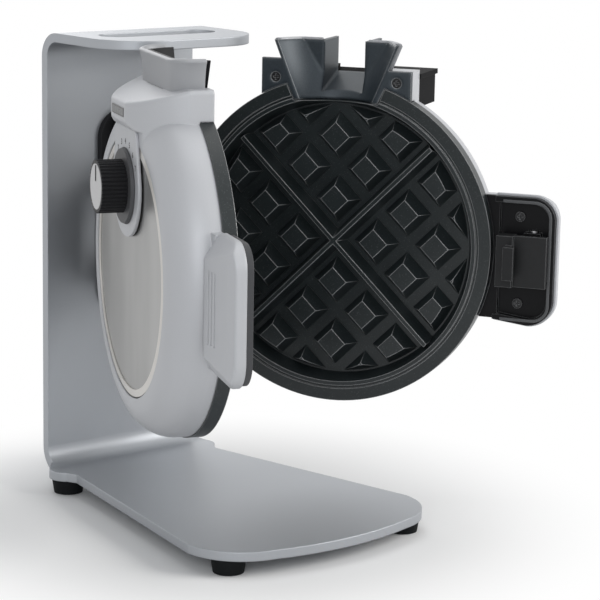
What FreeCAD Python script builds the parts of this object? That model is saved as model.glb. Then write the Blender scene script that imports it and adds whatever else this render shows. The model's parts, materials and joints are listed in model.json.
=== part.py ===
import FreeCAD, Part
import math
import os

import Sketcher

# Vertical waffle maker: an aluminium stand, two hinged halves, a control knob and a latch.
# World frame: origin midway between the four feet on the floor, X to the right, front at -Y, Z up.
# A half is drawn closed in its own frame: x runs from the hinge to the handle, y outward from the
# mating face, z up; the left half is the mirror of that frame.

doc = FreeCAD.newDocument("WaffleMaker")
sheet = doc.addObject("Spreadsheet::Sheet", "sizes")

SIZES = {
    # stand
    "hinge_y": 95.0, "sheet_thick": 5.5, "foot_high": 9.5, "stand_high": 288.0,
    "panel_gap": 12.5, "panel_half": 55.5, "bend_low": 17.0, "bend_top": 15.0,
    "base_front": 121.5, "front_side_y": 114.5, "front_side_x": 50.0, "front_arc": 182.0,
    "corner_x": 83.0, "corner_y": 77.0, "corner_arc": 38.0,
    "waist_x": 54.5, "waist_y": 77.0, "ear_low_y": 83.0, "ear_x": 57.5, "ear_arc": 11.5,
    "ear_top_y": 103.0, "flange_reach": 68.0, "flange_corner": 34.0,
    "slot_half": 30.0, "slot_r": 11.5, "slot_ahead": 26.0,
    "foot_x_rear": 50.0, "foot_y": 93.0, "foot_x_front": 66.0, "foot_r_top": 10.5, "foot_r_floor": 9.0,
    "foot_bore_r": 4.6, "foot_seat": 4.0, "foot_screw_head_r": 4.3, "foot_screw_head": 2.2,
    "foot_screw_r": 2.0, "foot_screw_into": 4.0,
    # hinge
    "bracket_low": 107.0, "bracket_high": 238.0, "bracket_half": 18.0, "bracket_plate": 4.0,
    "pin_r": 3.5, "pin_fit": 0.05, "knuckle_r": 7.5, "lug_high": 12.0, "knuckle_high": 19.8,
    "mid_lug_high": 15.4, "knuckle_gap": 0.4, "lug_start": 112.0, "pin_head_r": 5.5, "pin_head": 2.5,
    "bracket_screw_r": 2.0, "bracket_screw_in": 3.4, "bracket_screw_head_r": 4.0,
    "bracket_screw_head": 2.4, "bracket_screw_x": 10.5,
    "arm_web_from": 0.5, "arm_web_back": 109.0, "arm_plate_back": 93.5, "arm_plate": 4.0,
    "arm_plate_start": 17.0, "arm_slot_gap": 0.15,
    "left_open": 20.9, "right_open": 31.2,
    # cooking plates
    "disc_u": 133.0, "disc_z": 165.0, "plate_r": 100.0, "plate_gap": 0.3, "rim_back": 8.5,
    "cavity_r": 88.0, "floor_r": 84.0, "floor_w": 11.5, "plate_back": 15.5, "rim_in": 93.0,
    "back_r": 90.0, "bead_in": 90.6, "bead_out": 92.4, "bead_deep": 1.6,
    "peg_base": 21.0, "peg_top": 12.5, "peg_top_w": 2.4, "peg_first": 18.0, "peg_pitch": 27.5,
    "peg_limit_floor": 83.0, "peg_limit_top": 79.0,
    "ridge_base": 9.0, "ridge_top": 2.6, "ridge_top_w": 1.8, "ridge_long": 85.5, "grid_gap": 0.4,
    # housings
    "dome_r": 99.3, "dome_arc": 22.0, "dome_w": 36.5, "dome_wall": 2.2, "ledge": 2.2,
    "recess_r": 75.7, "recess_w": 33.2, "window_r": 66.0,
    "cover_r": 75.4, "cover_thick": 2.3, "bezel_in": 70.5, "bezel_thick": 0.8, "bezel_edge": 0.25,
    "neck_half": 47.5, "neck_top": 271.0, "neck_low": 235.0, "neck_wall": 2.0, "neck_round": 2.5,
    "neck_side_w": 14.0, "neck_swell": 45.0,
    "hood_w": 43.0, "hood_half": 15.5, "hood_top": 261.5, "hood_low": 250.0, "hood_lip_w": 39.0,
    "hood_lip_z": 246.0, "right_neck_w": 18.0, "pad_from_reach": 82.0, "pad_to_reach": 101.0,
    "pad_low": 125.0, "pad_high": 200.0, "pad_w": 15.0,
    # element and shield
    "element_r": 62.0, "element_tube": 3.3, "element_gap_half": 9.0, "shield_r": 84.0, "shield_wall": 1.0,
    "shield_w": 22.3, "lead_long": 8.0,
    # spout
    "funnel_axis_w": 12.0, "funnel_low_r": 26.0, "funnel_top_r": 39.5, "funnel_low": 251.0,
    "funnel_rise": 35.5, "liner_wall": 2.0, "liner_slab": 3.5, "liner_half": 45.3, "liner_top": 268.8,
    "ear_rise": 4.5,
    "cup_fit": 0.1, "cup_wall": 2.2, "cup_low": 260.0, "cup_lip": 1.0, "cup_round": 1.6, "spout_flat": 16.8,
    "notch_half": 13.0, "notch_w": 8.0, "liner_gap": 0.3,
    "chute_root": 12.0, "chute_from": 18.0, "chute_low": 256.8, "chute_to": 44.0, "chute_rise": 8.3,
    "chute_wall": 2.0, "over_top": 20.0,
    "mouth_half_low": 27.0, "mouth_half_top": 34.5, "mouth_low": 250.5,
    "ear_screw_u": 38.5, "ear_screw_z": 264.0, "screw_head_r": 3.0, "screw_head": 1.4, "screw_r": 1.4,
    "screw_long": 8.0, "screw_slot": 0.9, "screw_slot_deep": 0.6,
    # handles
    "grip_end_reach": 139.0, "grip_top": 201.0, "grip_top_arc": 15.0, "grip_low": 121.0,
    "grip_low_arc": 17.0, "grip_root_low": 125.0, "grip_root_reach": 89.0, "grip_w": 21.0,
    "grip_end_w": 14.5,
    "grip_bend_share": 0.237, "grip_bend_w": 17.0, "grip_bevel_w": 12.0, "grip_bevel": 13.0,
    "grip_wall": 2.0, "grip_round": 1.6, "liner_face_w": 4.5, "liner_inset": 1.2, "liner_rim": 3.6,
    "tray_floor_w": 9.5,
    "tray_floor": 2.0, "liner_rim_clear": 100.5, "boss_r": 4.5,
    "grip_screw_from": 14.5, "grip_screw_high": 187.5, "grip_screw_low": 134.5,
    "groove_wide": 1.4, "groove_long": 40.0, "groove_pitch": 4.0, "groove_deep": 0.9, "groove_start": 9.0,
    # latch
    "latch_back": 15.0, "latch_w": 10.0, "latch_pin_r": 1.8, "latch_fit": 0.05, "latch_hub_r": 4.4,
    "latch_low": 149.0, "latch_high": 175.0, "latch_side_gap": 0.5, "cheek": 3.0, "cheek_half": 5.2,
    "hook_thick": 4.0, "hook_reach": 12.4, "barb": 2.5, "barb_thick": 2.5,
    "lever_high_w": 11.0, "lever_back": 7.0, "press_before": 19.5, "press_after": 10.5,
    "press_half": 15.5, "press_front": 1.8, "press_back": 1.6, "thumb_long": 10.0, "thumb_front": 5.0,
    "thumb_back": 5.5, "keeper_edge": 0.8, "keeper_thick": 2.0, "keeper_long": 6.2, "keeper_half": 14.0,
    "hook_half": 10.0,
    "hook_swing": 4.5, "hook_side_gap": 0.5, "keeper_seat": 2.3,
    "latch_slot_before": 6.4, "latch_mid": 162.0, "spring_high": 2.6,
    # dial
    "dial_z": 212.0, "dial_r": 29.0, "dial_thick": 2.0, "dial_neck_half": 21.0, "dial_top": 245.8,
    "skirt_gap": 0.3, "skirt_r": 22.0, "skirt_thick": 2.0, "knob_r": 15.3, "knob_long": 14.8,
    "knob_ribs": 0.7, "cap_r": 13.0, "cap_thick": 0.8, "spindle_r": 3.0, "spindle_fit": 0.05,
    "pointer_wide": 1.3, "pointer_long": 9.0, "pointer_high": 0.25,
    "thermostat_half": 14.0, "thermostat_w": 32.9,
    "lens_half": 13.0, "lens_high": 5.0, "lens_z": 255.3, "lens_thick": 2.6, "lens_fit": 0.05,
    "lamp_r": 2.0, "lamp_long": 7.0, "lamp_step": 7.0,
    "fuse_long": 26.0, "fuse_wide": 9.0, "fuse_high": 5.0, "fuse_z": 118.0,
    # right neck cap
    "cap_half": 47.0, "cap_low": 248.0, "cap_high": 268.5, "cap_out": 54.0, "cap_wall": 2.0,
    "cap_lip": 1.2, "cap_lip_high": 3.0, "cap_clear": 0.3, "terminal_half": 12.0, "terminal_back": 31.0,
    "terminal_high": 10.0,
    "terminal_deep": 14.0, "gland_r": 6.5, "gland_bore": 3.2, "gland_long": 9.0, "gland_z": 259.0,
}


class Dim:
    """A length that carries both its value and its spreadsheet expression."""

    def __init__(self, text, value):
        self.text = text
        self.value = float(value)

    def _join(self, sign, other, value, swapped=False):
        mine, theirs = self.text, as_dim(other).text
        left, right = (theirs, mine) if swapped else (mine, theirs)
        return Dim("(%s %s %s)" % (left, sign, right), value)

    def __add__(self, other):
        return self._join("+", other, self.value + as_dim(other).value)

    def __radd__(self, other):
        return self._join("+", other, self.value + as_dim(other).value, True)

    def __sub__(self, other):
        return self._join("-", other, self.value - as_dim(other).value)

    def __rsub__(self, other):
        return self._join("-", other, as_dim(other).value - self.value, True)

    def __mul__(self, other):
        return self._join("*", other, self.value * as_dim(other).value)

    def __rmul__(self, other):
        return self._join("*", other, self.value * as_dim(other).value, True)

    def __truediv__(self, other):
        return self._join("/", other, self.value / as_dim(other).value)

    def __neg__(self):
        return Dim("(0 - %s)" % self.text, -self.value)


def as_dim(value):
    if isinstance(value, Dim):
        return value
    return Dim("%.9g" % value if value >= 0 else "(0 - %.9g)" % -value, value)


class Sizes:
    """Named sizes, each one cell of the sheet."""


S = Sizes()
for row, (alias, size) in enumerate(SIZES.items(), start=1):
    sheet.set("A%d" % row, alias)
    sheet.set("B%d" % row, "%g" % size)
    sheet.setAlias("B%d" % row, alias)
    setattr(S, alias, Dim("sizes.%s" % alias, size))
doc.recompute()

S.arm_web_to = S.disc_u - S.arm_web_back
S.arm_plate_to = S.disc_u - S.arm_plate_back
S.pad_from = S.disc_u + S.pad_from_reach
S.pad_to = S.disc_u + S.pad_to_reach
S.grip_root = S.disc_u + S.grip_root_reach
S.grip_screw_u = S.pad_to + S.grip_screw_from
S.grip_end = S.disc_u + S.grip_end_reach
S.grip_bend_u = S.grip_end - (S.grip_end - S.pad_to) * S.grip_bend_share
S.latch_u = S.grip_end - S.latch_back
S.funnel_top = S.funnel_low + S.funnel_rise
S.cup_top = S.funnel_top + S.cup_lip

X_AXIS = FreeCAD.Vector(1, 0, 0)
Y_AXIS = FreeCAD.Vector(0, 1, 0)
Z_AXIS = FreeCAD.Vector(0, 0, 1)
TURN = {
    "z": FreeCAD.Rotation(Z_AXIS, 0),
    "y": FreeCAD.Rotation(X_AXIS, -90),
    "x": FreeCAD.Rotation(Y_AXIS, 90),
}
PLANE = {
    "xy": (FreeCAD.Rotation(Z_AXIS, 0), Z_AXIS),
    "xz": (FreeCAD.Rotation(X_AXIS, 90), Y_AXIS),
    "yz": (FreeCAD.Rotation(FreeCAD.Vector(1, 1, 1), 120), X_AXIS),
}
DIAGONAL = math.sqrt(0.5)
counter = {}


def add(kind, name):
    counter[name] = counter.get(name, 0) + 1
    return doc.addObject(kind, name if counter[name] == 1 else "%s_%d" % (name, counter[name]))


def bind(thing, **lengths):
    for prop, length in lengths.items():
        thing.setExpression(prop, as_dim(length).text)
    return thing


def at(thing, x=0, y=0, z=0, turn=None):
    if turn is not None:
        thing.Placement = FreeCAD.Placement(FreeCAD.Vector(0, 0, 0), turn)
    for axis, length in zip("xyz", (x, y, z)):
        if isinstance(length, Dim) or length:
            thing.setExpression("Placement.Base.%s" % axis, as_dim(length).text)
    return thing


def box(name, x0, x1, y0, y1, z0, z1):
    x0, y0, z0 = as_dim(x0), as_dim(y0), as_dim(z0)
    solid = bind(add("Part::Box", name), Length=x1 - x0, Width=y1 - y0, Height=z1 - z0)
    return at(solid, x0, y0, z0)


def rod(name, radius, long, x=0, y=0, z=0, axis="z"):
    return at(bind(add("Part::Cylinder", name), Radius=radius, Height=long), x, y, z, TURN[axis])


def taper(name, radius1, radius2, long, x=0, y=0, z=0, axis="z"):
    solid = bind(add("Part::Cone", name), Radius1=radius1, Radius2=radius2, Height=long)
    return at(solid, x, y, z, TURN[axis])


def wedge(name, y0, y1, half0, half1, long0, long1):
    """A draughted block along y: half widths in x and half lengths in z at each end."""
    solid = add("Part::Wedge", name)
    return bind(solid, Ymin=y0, Ymax=y1, Xmin=-half0, Xmax=half0, X2min=-half1, X2max=half1,
                Zmin=-long0, Zmax=long0, Z2min=-long1, Z2max=long1)


def arc_centre(start, end, radius, turn):
    mid = (start + end) * 0.5
    chord = end - start
    rise = math.sqrt(max(radius * radius - chord.Length ** 2 / 4, 0.0))
    side = FreeCAD.Vector(-chord.y, chord.x, 0).normalize()
    return mid + side * (rise * turn)


def outline(name, plane, points):
    """A closed sketch; a point is (x, y) or (x, y, radius, turn) for an arc that ends there.

    turn is +1 for a counterclockwise arc and -1 for a clockwise one."""
    sketch = add("Sketcher::SketchObject", name)
    sketch.Placement = FreeCAD.Placement(FreeCAD.Vector(0, 0, 0), PLANE[plane][0])
    corners = [FreeCAD.Vector(as_dim(p[0]).value, as_dim(p[1]).value, 0) for p in points]
    marks = []
    for index, point in enumerate(points):
        start, end = corners[index - 1], corners[index]
        if len(point) == 2:
            sketch.addGeometry(Part.LineSegment(start, end), False)
            marks.append((1, 2))
            continue
        radius, turn = as_dim(point[2]).value, point[3]
        centre = arc_centre(start, end, radius, turn)
        first, last = (start, end) if turn > 0 else (end, start)
        angles = [math.atan2(v.y - centre.y, v.x - centre.x) for v in (first, last)]
        if angles[1] < angles[0]:
            angles[1] += 2 * math.pi
        circle = Part.Circle(centre, Z_AXIS, radius)
        sketch.addGeometry(Part.ArcOfCircle(circle, angles[0], angles[1]), False)
        marks.append((1, 2) if turn > 0 else (2, 1))
    for index, point in enumerate(points):
        after = (index + 1) % len(points)
        sketch.addConstraint(Sketcher.Constraint("Coincident", index, marks[index][1], after,
                                                 marks[after][0]))
        for kind, length in (("DistanceX", as_dim(point[0])), ("DistanceY", as_dim(point[1]))):
            row = sketch.addConstraint(
                Sketcher.Constraint(kind, -1, 1, index, marks[index][1], length.value))
            sketch.setExpression("Constraints[%d]" % row, length.text)
        if len(point) > 2:
            radius = as_dim(point[2])
            row = sketch.addConstraint(Sketcher.Constraint("Radius", index, radius.value))
            sketch.setExpression("Constraints[%d]" % row, radius.text)
    return sketch


def prism(name, plane, points, start, end):
    """The outline drawn out along its plane's normal from start to end."""
    profile = outline(name + "_outline", plane, points)
    solid = add("Part::Extrusion", name)
    solid.Base = profile
    solid.DirMode = "Custom"
    solid.Dir = PLANE[plane][1]
    solid.Solid = True
    bind(solid, LengthFwd=end - as_dim(start))
    offset = {"xy": (0, 0, start), "xz": (0, start, 0), "yz": (start, 0, 0)}[plane]
    return at(solid, *offset)


def lathe(name, points, x=0, y=0, z=0, axis="y"):
    """A turned solid; points are (radius, along the axis)."""
    profile = outline(name + "_outline", "xy", points)
    solid = add("Part::Revolution", name)
    solid.Source = profile
    solid.Axis = Y_AXIS
    solid.Angle = 360
    solid.Solid = True
    turn = FreeCAD.Rotation(X_AXIS, 90) if axis == "z" else None
    return at(solid, x, y, z, turn)


def fuse(name, *solids):
    joined = add("Part::MultiFuse", name)
    joined.Shapes = list(solids)
    joined.Refine = True
    return joined


def common(name, *solids):
    shared = add("Part::MultiCommon", name)
    shared.Shapes = list(solids)
    shared.Refine = True
    return shared


def cut(name, base, *tools):
    less = add("Part::Cut", name)
    less.Base = base
    less.Tool = tools[0] if len(tools) == 1 else fuse(name + "_tools", *tools)
    less.Refine = True
    return less


def group(name, *solids):
    bundle = add("Part::Compound", name)
    bundle.Links = list(solids)
    return bundle


def rounded(name, solid, radius, picks):
    """A body that takes a solid and rounds the edges that picks chooses."""
    doc.recompute()
    body = add("PartDesign::Body", name)
    body.BaseFeature = solid
    doc.recompute()
    start = body.Tip
    edges = ["Edge%d" % (i + 1) for i, edge in enumerate(start.Shape.Edges) if picks(edge)]
    soft = body.newObject("PartDesign::Fillet", name + "_round")
    soft.Base = (start, edges)
    body.Tip = soft
    return bind(soft, Radius=radius) and body


NODES = []


def keep(solid, label):
    solid.Label = label
    NODES.append(solid)
    return solid


def copy_of(solid, name):
    same = add("Part::Refine", name)
    same.Source = solid
    return same


def mirrored(solid, name):
    flipped = add("Part::Mirroring", name)
    flipped.Source = solid
    flipped.Normal = Y_AXIS
    return flipped


HALF_TURN = {"left": -90 - S.left_open, "right": -90 + S.right_open}


def hang(solid, side, label):
    """Place a finished half piece at its open angle about the hinge."""
    piece = mirrored(solid, label) if side == "left" else copy_of(solid, label)
    piece.setExpression("Placement.Base.y", S.hinge_y.text)
    piece.setExpression("Placement.Rotation.Angle", HALF_TURN[side].text)
    return keep(piece, label)


def hang_both(solid, name):
    for side in ("left", "right"):
        hang(solid, side, "%s_%s" % (side, name))


# stand
panel_front = S.hinge_y + S.panel_gap
panel_back = panel_front + S.sheet_thick
base_top = S.foot_high + S.sheet_thick
flange_front = S.hinge_y - S.flange_reach
bent_sheet = prism("bent_sheet", "yz", [
    (-S.base_front - 1, S.foot_high),
    (panel_back - S.bend_low, S.foot_high),
    (panel_back, S.foot_high + S.bend_low, S.bend_low, 1),
    (panel_back, S.stand_high - S.bend_top),
    (panel_back - S.bend_top, S.stand_high, S.bend_top, 1),
    (flange_front, S.stand_high),
    (flange_front, S.stand_high - S.sheet_thick),
    (panel_back - S.bend_top, S.stand_high - S.sheet_thick),
    (panel_front, S.stand_high - S.bend_top, S.bend_top - S.sheet_thick, -1),
    (panel_front, S.foot_high + S.bend_low),
    (panel_back - S.bend_low, base_top, S.bend_low - S.sheet_thick, -1),
    (-S.base_front - 1, base_top),
], -S.corner_x - 2, S.corner_x + 2)
base_plan = prism("base_plan", "xy", [
    (-S.panel_half, panel_back + 1),
    (-S.panel_half, S.ear_top_y),
    (-S.ear_x, S.ear_low_y, S.ear_arc, 1),
    (-S.waist_x, S.waist_y),
    (-S.corner_x, -S.corner_y),
    (-S.front_side_x, -S.front_side_y, S.corner_arc, 1),
    (S.front_side_x, -S.front_side_y, S.front_arc, 1),
    (S.corner_x, -S.corner_y, S.corner_arc, 1),
    (S.waist_x, S.waist_y),
    (S.ear_x, S.ear_low_y),
    (S.panel_half, S.ear_top_y, S.ear_arc, 1),
    (S.panel_half, panel_back + 1),
], 0, S.foot_high + S.bend_low)
panel_plan = prism("panel_plan", "xy", [
    (-S.panel_half, panel_back + 1),
    (-S.panel_half, flange_front + S.flange_corner),
    (-S.panel_half + S.flange_corner, flange_front, S.flange_corner, 1),
    (S.panel_half - S.flange_corner, flange_front),
    (S.panel_half, flange_front + S.flange_corner, S.flange_corner, 1),
    (S.panel_half, panel_back + 1),
], S.foot_high + S.bend_low, S.stand_high + 1)
slot_y = S.hinge_y - S.slot_ahead
slot_parts = [box("slot_mid", -S.slot_half, S.slot_half, slot_y - S.slot_r, slot_y + S.slot_r,
                  S.stand_high - S.bend_top, S.stand_high + 1)]
for end in (-1, 1):
    slot_parts.append(rod("slot_end", S.slot_r, S.bend_top + 1, end * S.slot_half, slot_y,
                          S.stand_high - S.bend_top))
stand_sheet = common("stand_sheet", bent_sheet, fuse("stand_plan", base_plan, panel_plan))

foot_spots = [(-S.foot_x_rear, S.foot_y), (S.foot_x_rear, S.foot_y),
              (-S.foot_x_front, -S.foot_y), (S.foot_x_front, -S.foot_y)]
feet, foot_screws, stand_holes = [], [], []
for x, y in foot_spots:
    body = taper("foot_body", S.foot_r_floor, S.foot_r_top, S.foot_high, x, y)
    bore = fuse("foot_bore", rod("foot_counterbore", S.foot_bore_r, S.foot_seat, x, y),
                rod("foot_hole", S.foot_screw_r + S.pin_fit, S.foot_high, x, y))
    feet.append(cut("foot", body, bore))
    foot_screws.append(fuse(
        "foot_screw",
        rod("foot_screw_head", S.foot_screw_head_r, S.foot_screw_head, x, y,
            S.foot_seat - S.foot_screw_head),
        rod("foot_screw_shank", S.foot_screw_r, S.foot_high - S.foot_seat + S.foot_screw_into, x, y,
            S.foot_seat)))
    stand_holes.append(rod("foot_screw_hole", S.foot_screw_r + S.pin_fit,
                           S.foot_screw_into + S.pin_fit, x, y, S.foot_high))

# hinge bracket, pin and screws
lug_a = S.lug_start
left_low = lug_a + S.lug_high + S.knuckle_gap
right_low = left_low + S.knuckle_high + S.knuckle_gap
lug_b = right_low + S.knuckle_high + S.knuckle_gap
left_high = lug_b + S.mid_lug_high + S.knuckle_gap
right_high = left_high + S.knuckle_high + S.knuckle_gap
lug_c = right_high + S.knuckle_high + S.knuckle_gap
bracket_front = panel_front - S.bracket_plate
bracket_parts = [box("bracket_plate", -S.bracket_half, S.bracket_half, bracket_front, panel_front,
                     S.bracket_low + S.bracket_half, S.bracket_high - S.bracket_half)]
for z in (S.bracket_low + S.bracket_half, S.bracket_high - S.bracket_half):
    bracket_parts.append(rod("bracket_end", S.bracket_half, S.bracket_plate, 0, bracket_front, z, "y"))
for low, high in ((lug_a, S.lug_high), (lug_b, S.mid_lug_high), (lug_c, S.lug_high)):
    bracket_parts.append(rod("lug_round", S.knuckle_r, high, 0, S.hinge_y, low))
    bracket_parts.append(box("lug_web", -S.knuckle_r, S.knuckle_r, S.hinge_y, panel_front, low, low + high))
bracket_holes = [rod("bracket_bore", S.pin_r + S.pin_fit, S.bracket_high - S.bracket_low, 0, S.hinge_y,
                     S.bracket_low)]
bracket_screws = []
for x in (-S.bracket_screw_x, S.bracket_screw_x):
    for z in (lug_a + S.lug_high, lug_c):
        bracket_screws.append(fuse(
            "bracket_screw",
            rod("bracket_screw_head", S.bracket_screw_head_r, S.bracket_screw_head, x, panel_back, z, "y"),
            rod("bracket_screw_shank", S.bracket_screw_r, S.sheet_thick + S.bracket_screw_in, x,
                panel_front - S.bracket_screw_in, z, "y")))
        hole = rod("bracket_screw_hole", S.bracket_screw_r + S.pin_fit,
                   S.sheet_thick + S.bracket_screw_in + 1,
                   x, panel_front - S.bracket_screw_in - S.pin_fit, z, "y")
        stand_holes.append(hole)
        bracket_holes.append(hole)

keep(cut("stand_frame", stand_sheet, *(slot_parts + stand_holes)), "stand_frame")
keep(group("rubber_feet", *feet), "rubber_feet")
keep(group("foot_screws", *foot_screws), "foot_screws")
keep(cut("hinge_bracket", fuse("bracket_body", *bracket_parts), *bracket_holes), "hinge_bracket")
keep(group("bracket_screws", *bracket_screws), "bracket_screws")
keep(fuse("hinge_pin", rod("pin_shank", S.pin_r, lug_c + S.lug_high - lug_a + 1, 0, S.hinge_y, lug_a - 1),
          rod("pin_head", S.pin_head_r, S.pin_head, 0, S.hinge_y, lug_c + S.lug_high)), "hinge_pin")

# cooking plates
disc_at = {"x": S.disc_u, "z": S.disc_z}
plate_disc = lathe("plate_disc", [
    (0, S.floor_w),
    (0, S.plate_back),
    (S.back_r, S.plate_back),
    (S.rim_in, S.rim_back),
    (S.plate_r, S.rim_back),
    (S.plate_r, S.plate_gap),
    (S.bead_out, S.plate_gap),
    (S.bead_out, S.bead_deep),
    (S.bead_in, S.bead_deep),
    (S.bead_in, S.plate_gap),
    (S.cavity_r, S.plate_gap),
    (S.floor_r, S.floor_w),
], **disc_at)
pegs = []
for quadrant in range(4):
    turn = math.radians(45 + 90 * quadrant)
    for row in range(3):
        for column in range(3):
            if row + column == 4:
                continue
            along = S.peg_first + row * S.peg_pitch
            across = S.peg_first + column * S.peg_pitch
            peg = wedge("peg", S.peg_top_w, S.floor_w, S.peg_top / 2, S.peg_base / 2,
                        S.peg_top / 2, S.peg_base / 2)
            at(peg, S.disc_u + along * math.cos(turn) - across * math.sin(turn), 0,
               S.disc_z + along * math.sin(turn) + across * math.cos(turn), FreeCAD.Rotation(Y_AXIS, 45))
            pegs.append(peg)
peg_limit = taper("peg_limit", S.peg_limit_top, S.peg_limit_floor, S.floor_w - S.peg_top_w,
                  S.disc_u, S.peg_top_w, S.disc_z, "y")
trimmed_pegs = common("trimmed_pegs", group("peg_field", *pegs), peg_limit)
ridge_limit = taper("ridge_limit", S.cavity_r - S.grid_gap, S.floor_r - S.grid_gap, S.floor_w - S.plate_gap,
                    S.disc_u, S.plate_gap, S.disc_z, "y")
ridges = []
for turn in (45, -45):
    ridge = wedge("ridge", S.ridge_top_w, S.floor_w, S.ridge_top / 2, S.ridge_base / 2,
                  S.ridge_long, S.ridge_long)
    at(ridge, S.disc_u, 0, S.disc_z, FreeCAD.Rotation(Y_AXIS, turn))
    ridges.append(common("ridge_trimmed", ridge, ridge_limit))
waffle_grid = group("waffle_grid", trimmed_pegs, ridges[0], cut("crossed_ridge", ridges[1], ridges[0]))
mouth = prism("mouth", "xz", [
    (S.disc_u - S.mouth_half_low, S.mouth_low),
    (S.disc_u + S.mouth_half_low, S.mouth_low),
    (S.disc_u + S.mouth_half_top, S.disc_z + S.plate_r + 2),
    (S.disc_u - S.mouth_half_top, S.disc_z + S.plate_r + 2),
], -1, S.plate_back + 1)
hang_both(cut("plate", plate_disc, mouth), "cooking_plate")
hang_both(waffle_grid, "waffle_grid")

# heating element and its cover
element_w = S.plate_back + S.element_tube - 0.2
ring = at(bind(add("Part::Torus", "element_ring"), Radius1=S.element_r, Radius2=S.element_tube),
          S.disc_u, element_w, S.disc_z, TURN["y"])
element_block = box("element_block", S.disc_u - S.shield_r, S.disc_u + S.shield_r, S.plate_back,
                    S.shield_w, S.disc_z - S.shield_r, S.disc_z + S.shield_r)
element_gap = box("element_gap", S.disc_u - S.element_gap_half, S.disc_u + S.element_gap_half,
                  0, S.dome_w, S.disc_z - S.shield_r, S.disc_z)
leads, lead_holes = [], []
for end in (-1, 1):
    u = S.disc_u + end * (S.element_gap_half + S.element_tube)
    leads.append(rod("lead", S.element_tube - 0.5, S.shield_w + S.lead_long - element_w, u, element_w,
                     S.disc_z - S.element_r, "y"))
    lead_holes.append(rod("lead_hole", S.element_tube, S.lead_long, u, S.shield_w - 2,
                          S.disc_z - S.element_r, "y"))
element = fuse("element", cut("element_arc", common("element_flat", ring, element_block), element_gap),
               *leads)
hang_both(element, "heating_element")
shield_top = S.shield_w + S.shield_wall
shield_pan = lathe("shield_pan", [
    (0, S.shield_w),
    (0, shield_top),
    (S.shield_r, shield_top),
    (S.shield_r, S.plate_back),
    (S.shield_r - S.shield_wall, S.plate_back),
    (S.shield_r - S.shield_wall, S.shield_w),
], **disc_at)
hang_both(cut("shield", shield_pan, *lead_holes), "element_cover")

# housings
arc_foot = S.dome_w - S.dome_arc
flat_r = S.dome_r - S.dome_arc


def dome(name, swell):
    return lathe(name, [
        (0, S.dome_w + swell),
        (0, S.rim_back),
        (S.dome_r + swell, S.rim_back),
        (S.dome_r + swell, arc_foot),
        (flat_r, S.dome_w + swell, S.dome_arc + swell, 1),
    ], **disc_at)


def left_neck(name, wall, start):
    plan = prism(name + "_plan", "xy", [
        (S.disc_u - S.neck_half + wall, start),
        (S.disc_u + S.neck_half - wall, start),
        (S.disc_u + S.neck_half - wall, S.neck_side_w - wall * 0.4),
        (S.disc_u + S.hood_half - wall * 0.4, S.hood_w - wall, S.neck_swell, 1),
        (S.disc_u - S.hood_half + wall * 0.4, S.hood_w - wall),
        (S.disc_u - S.neck_half + wall, S.neck_side_w - wall * 0.4, S.neck_swell, 1),
    ], S.neck_low, S.neck_top)
    side = prism(name + "_side", "yz", [
        (start, S.neck_low),
        (S.dome_w - wall, S.neck_low),
        (S.dome_w - wall, S.hood_lip_z + wall),
        (S.hood_lip_w - wall * 0.6, S.hood_lip_z + wall),
        (S.hood_w - wall, S.hood_low + wall * 0.5),
        (S.hood_w - wall, S.hood_top - wall),
        (S.neck_side_w, S.neck_top - wall),
        (start, S.neck_top - wall),
    ], S.disc_u - S.neck_half, S.disc_u + S.neck_half)
    return common(name, plan, side)


def right_neck(name, wall, start):
    return box(name, S.disc_u - S.neck_half + wall, S.disc_u + S.neck_half - wall, start,
               S.right_neck_w - wall, S.neck_low, S.neck_top - wall)


slope = (S.funnel_top_r - S.funnel_low_r) / (S.funnel_top - S.funnel_low)


def funnel(name, low, high, swell):
    low, high = as_dim(low), as_dim(high)
    cone = taper(name + "_cone", S.funnel_low_r + slope * (low - S.funnel_low) + swell,
                 S.funnel_low_r + slope * (high - S.funnel_low) + swell, high - low,
                 S.disc_u, -S.funnel_axis_w, low)
    return common(name, cone, box(name + "_flat", 0, S.grip_end, -S.grip_end, S.spout_flat + swell, low,
                                  high))


top_room = S.stand_high + S.over_top
chute_slope = S.chute_rise / (S.chute_to - S.chute_from)


def chute_block(name, inset, drop, start, end, top):
    """The pouring chute of the right half, with its sides drawn in and its rising floor lowered."""
    half = S.notch_half + S.chute_wall - inset
    return prism(name, "yz", [
        (start, S.chute_low + chute_slope * (start - S.chute_from) - drop),
        (end, S.chute_low + chute_slope * (end - S.chute_from) - drop),
        (end, top),
        (start, top),
    ], S.disc_u - half, S.disc_u + half)


boss_spots = [(S.disc_u - S.ear_screw_u, S.ear_screw_z), (S.disc_u + S.ear_screw_u, S.ear_screw_z)]
grip_spots = [(S.grip_screw_u, S.grip_screw_high), (S.grip_screw_u, S.grip_screw_low)]
neck_start = {"left": S.plate_gap, "right": S.liner_slab + S.cup_fit}
boss_long = {"left": S.neck_side_w - S.liner_slab, "right": S.right_neck_w - S.liner_slab}
arm_levels = {"left": (left_low, left_high), "right": (right_low, right_high)}
arm_back = S.rim_back + S.arm_plate


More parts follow.
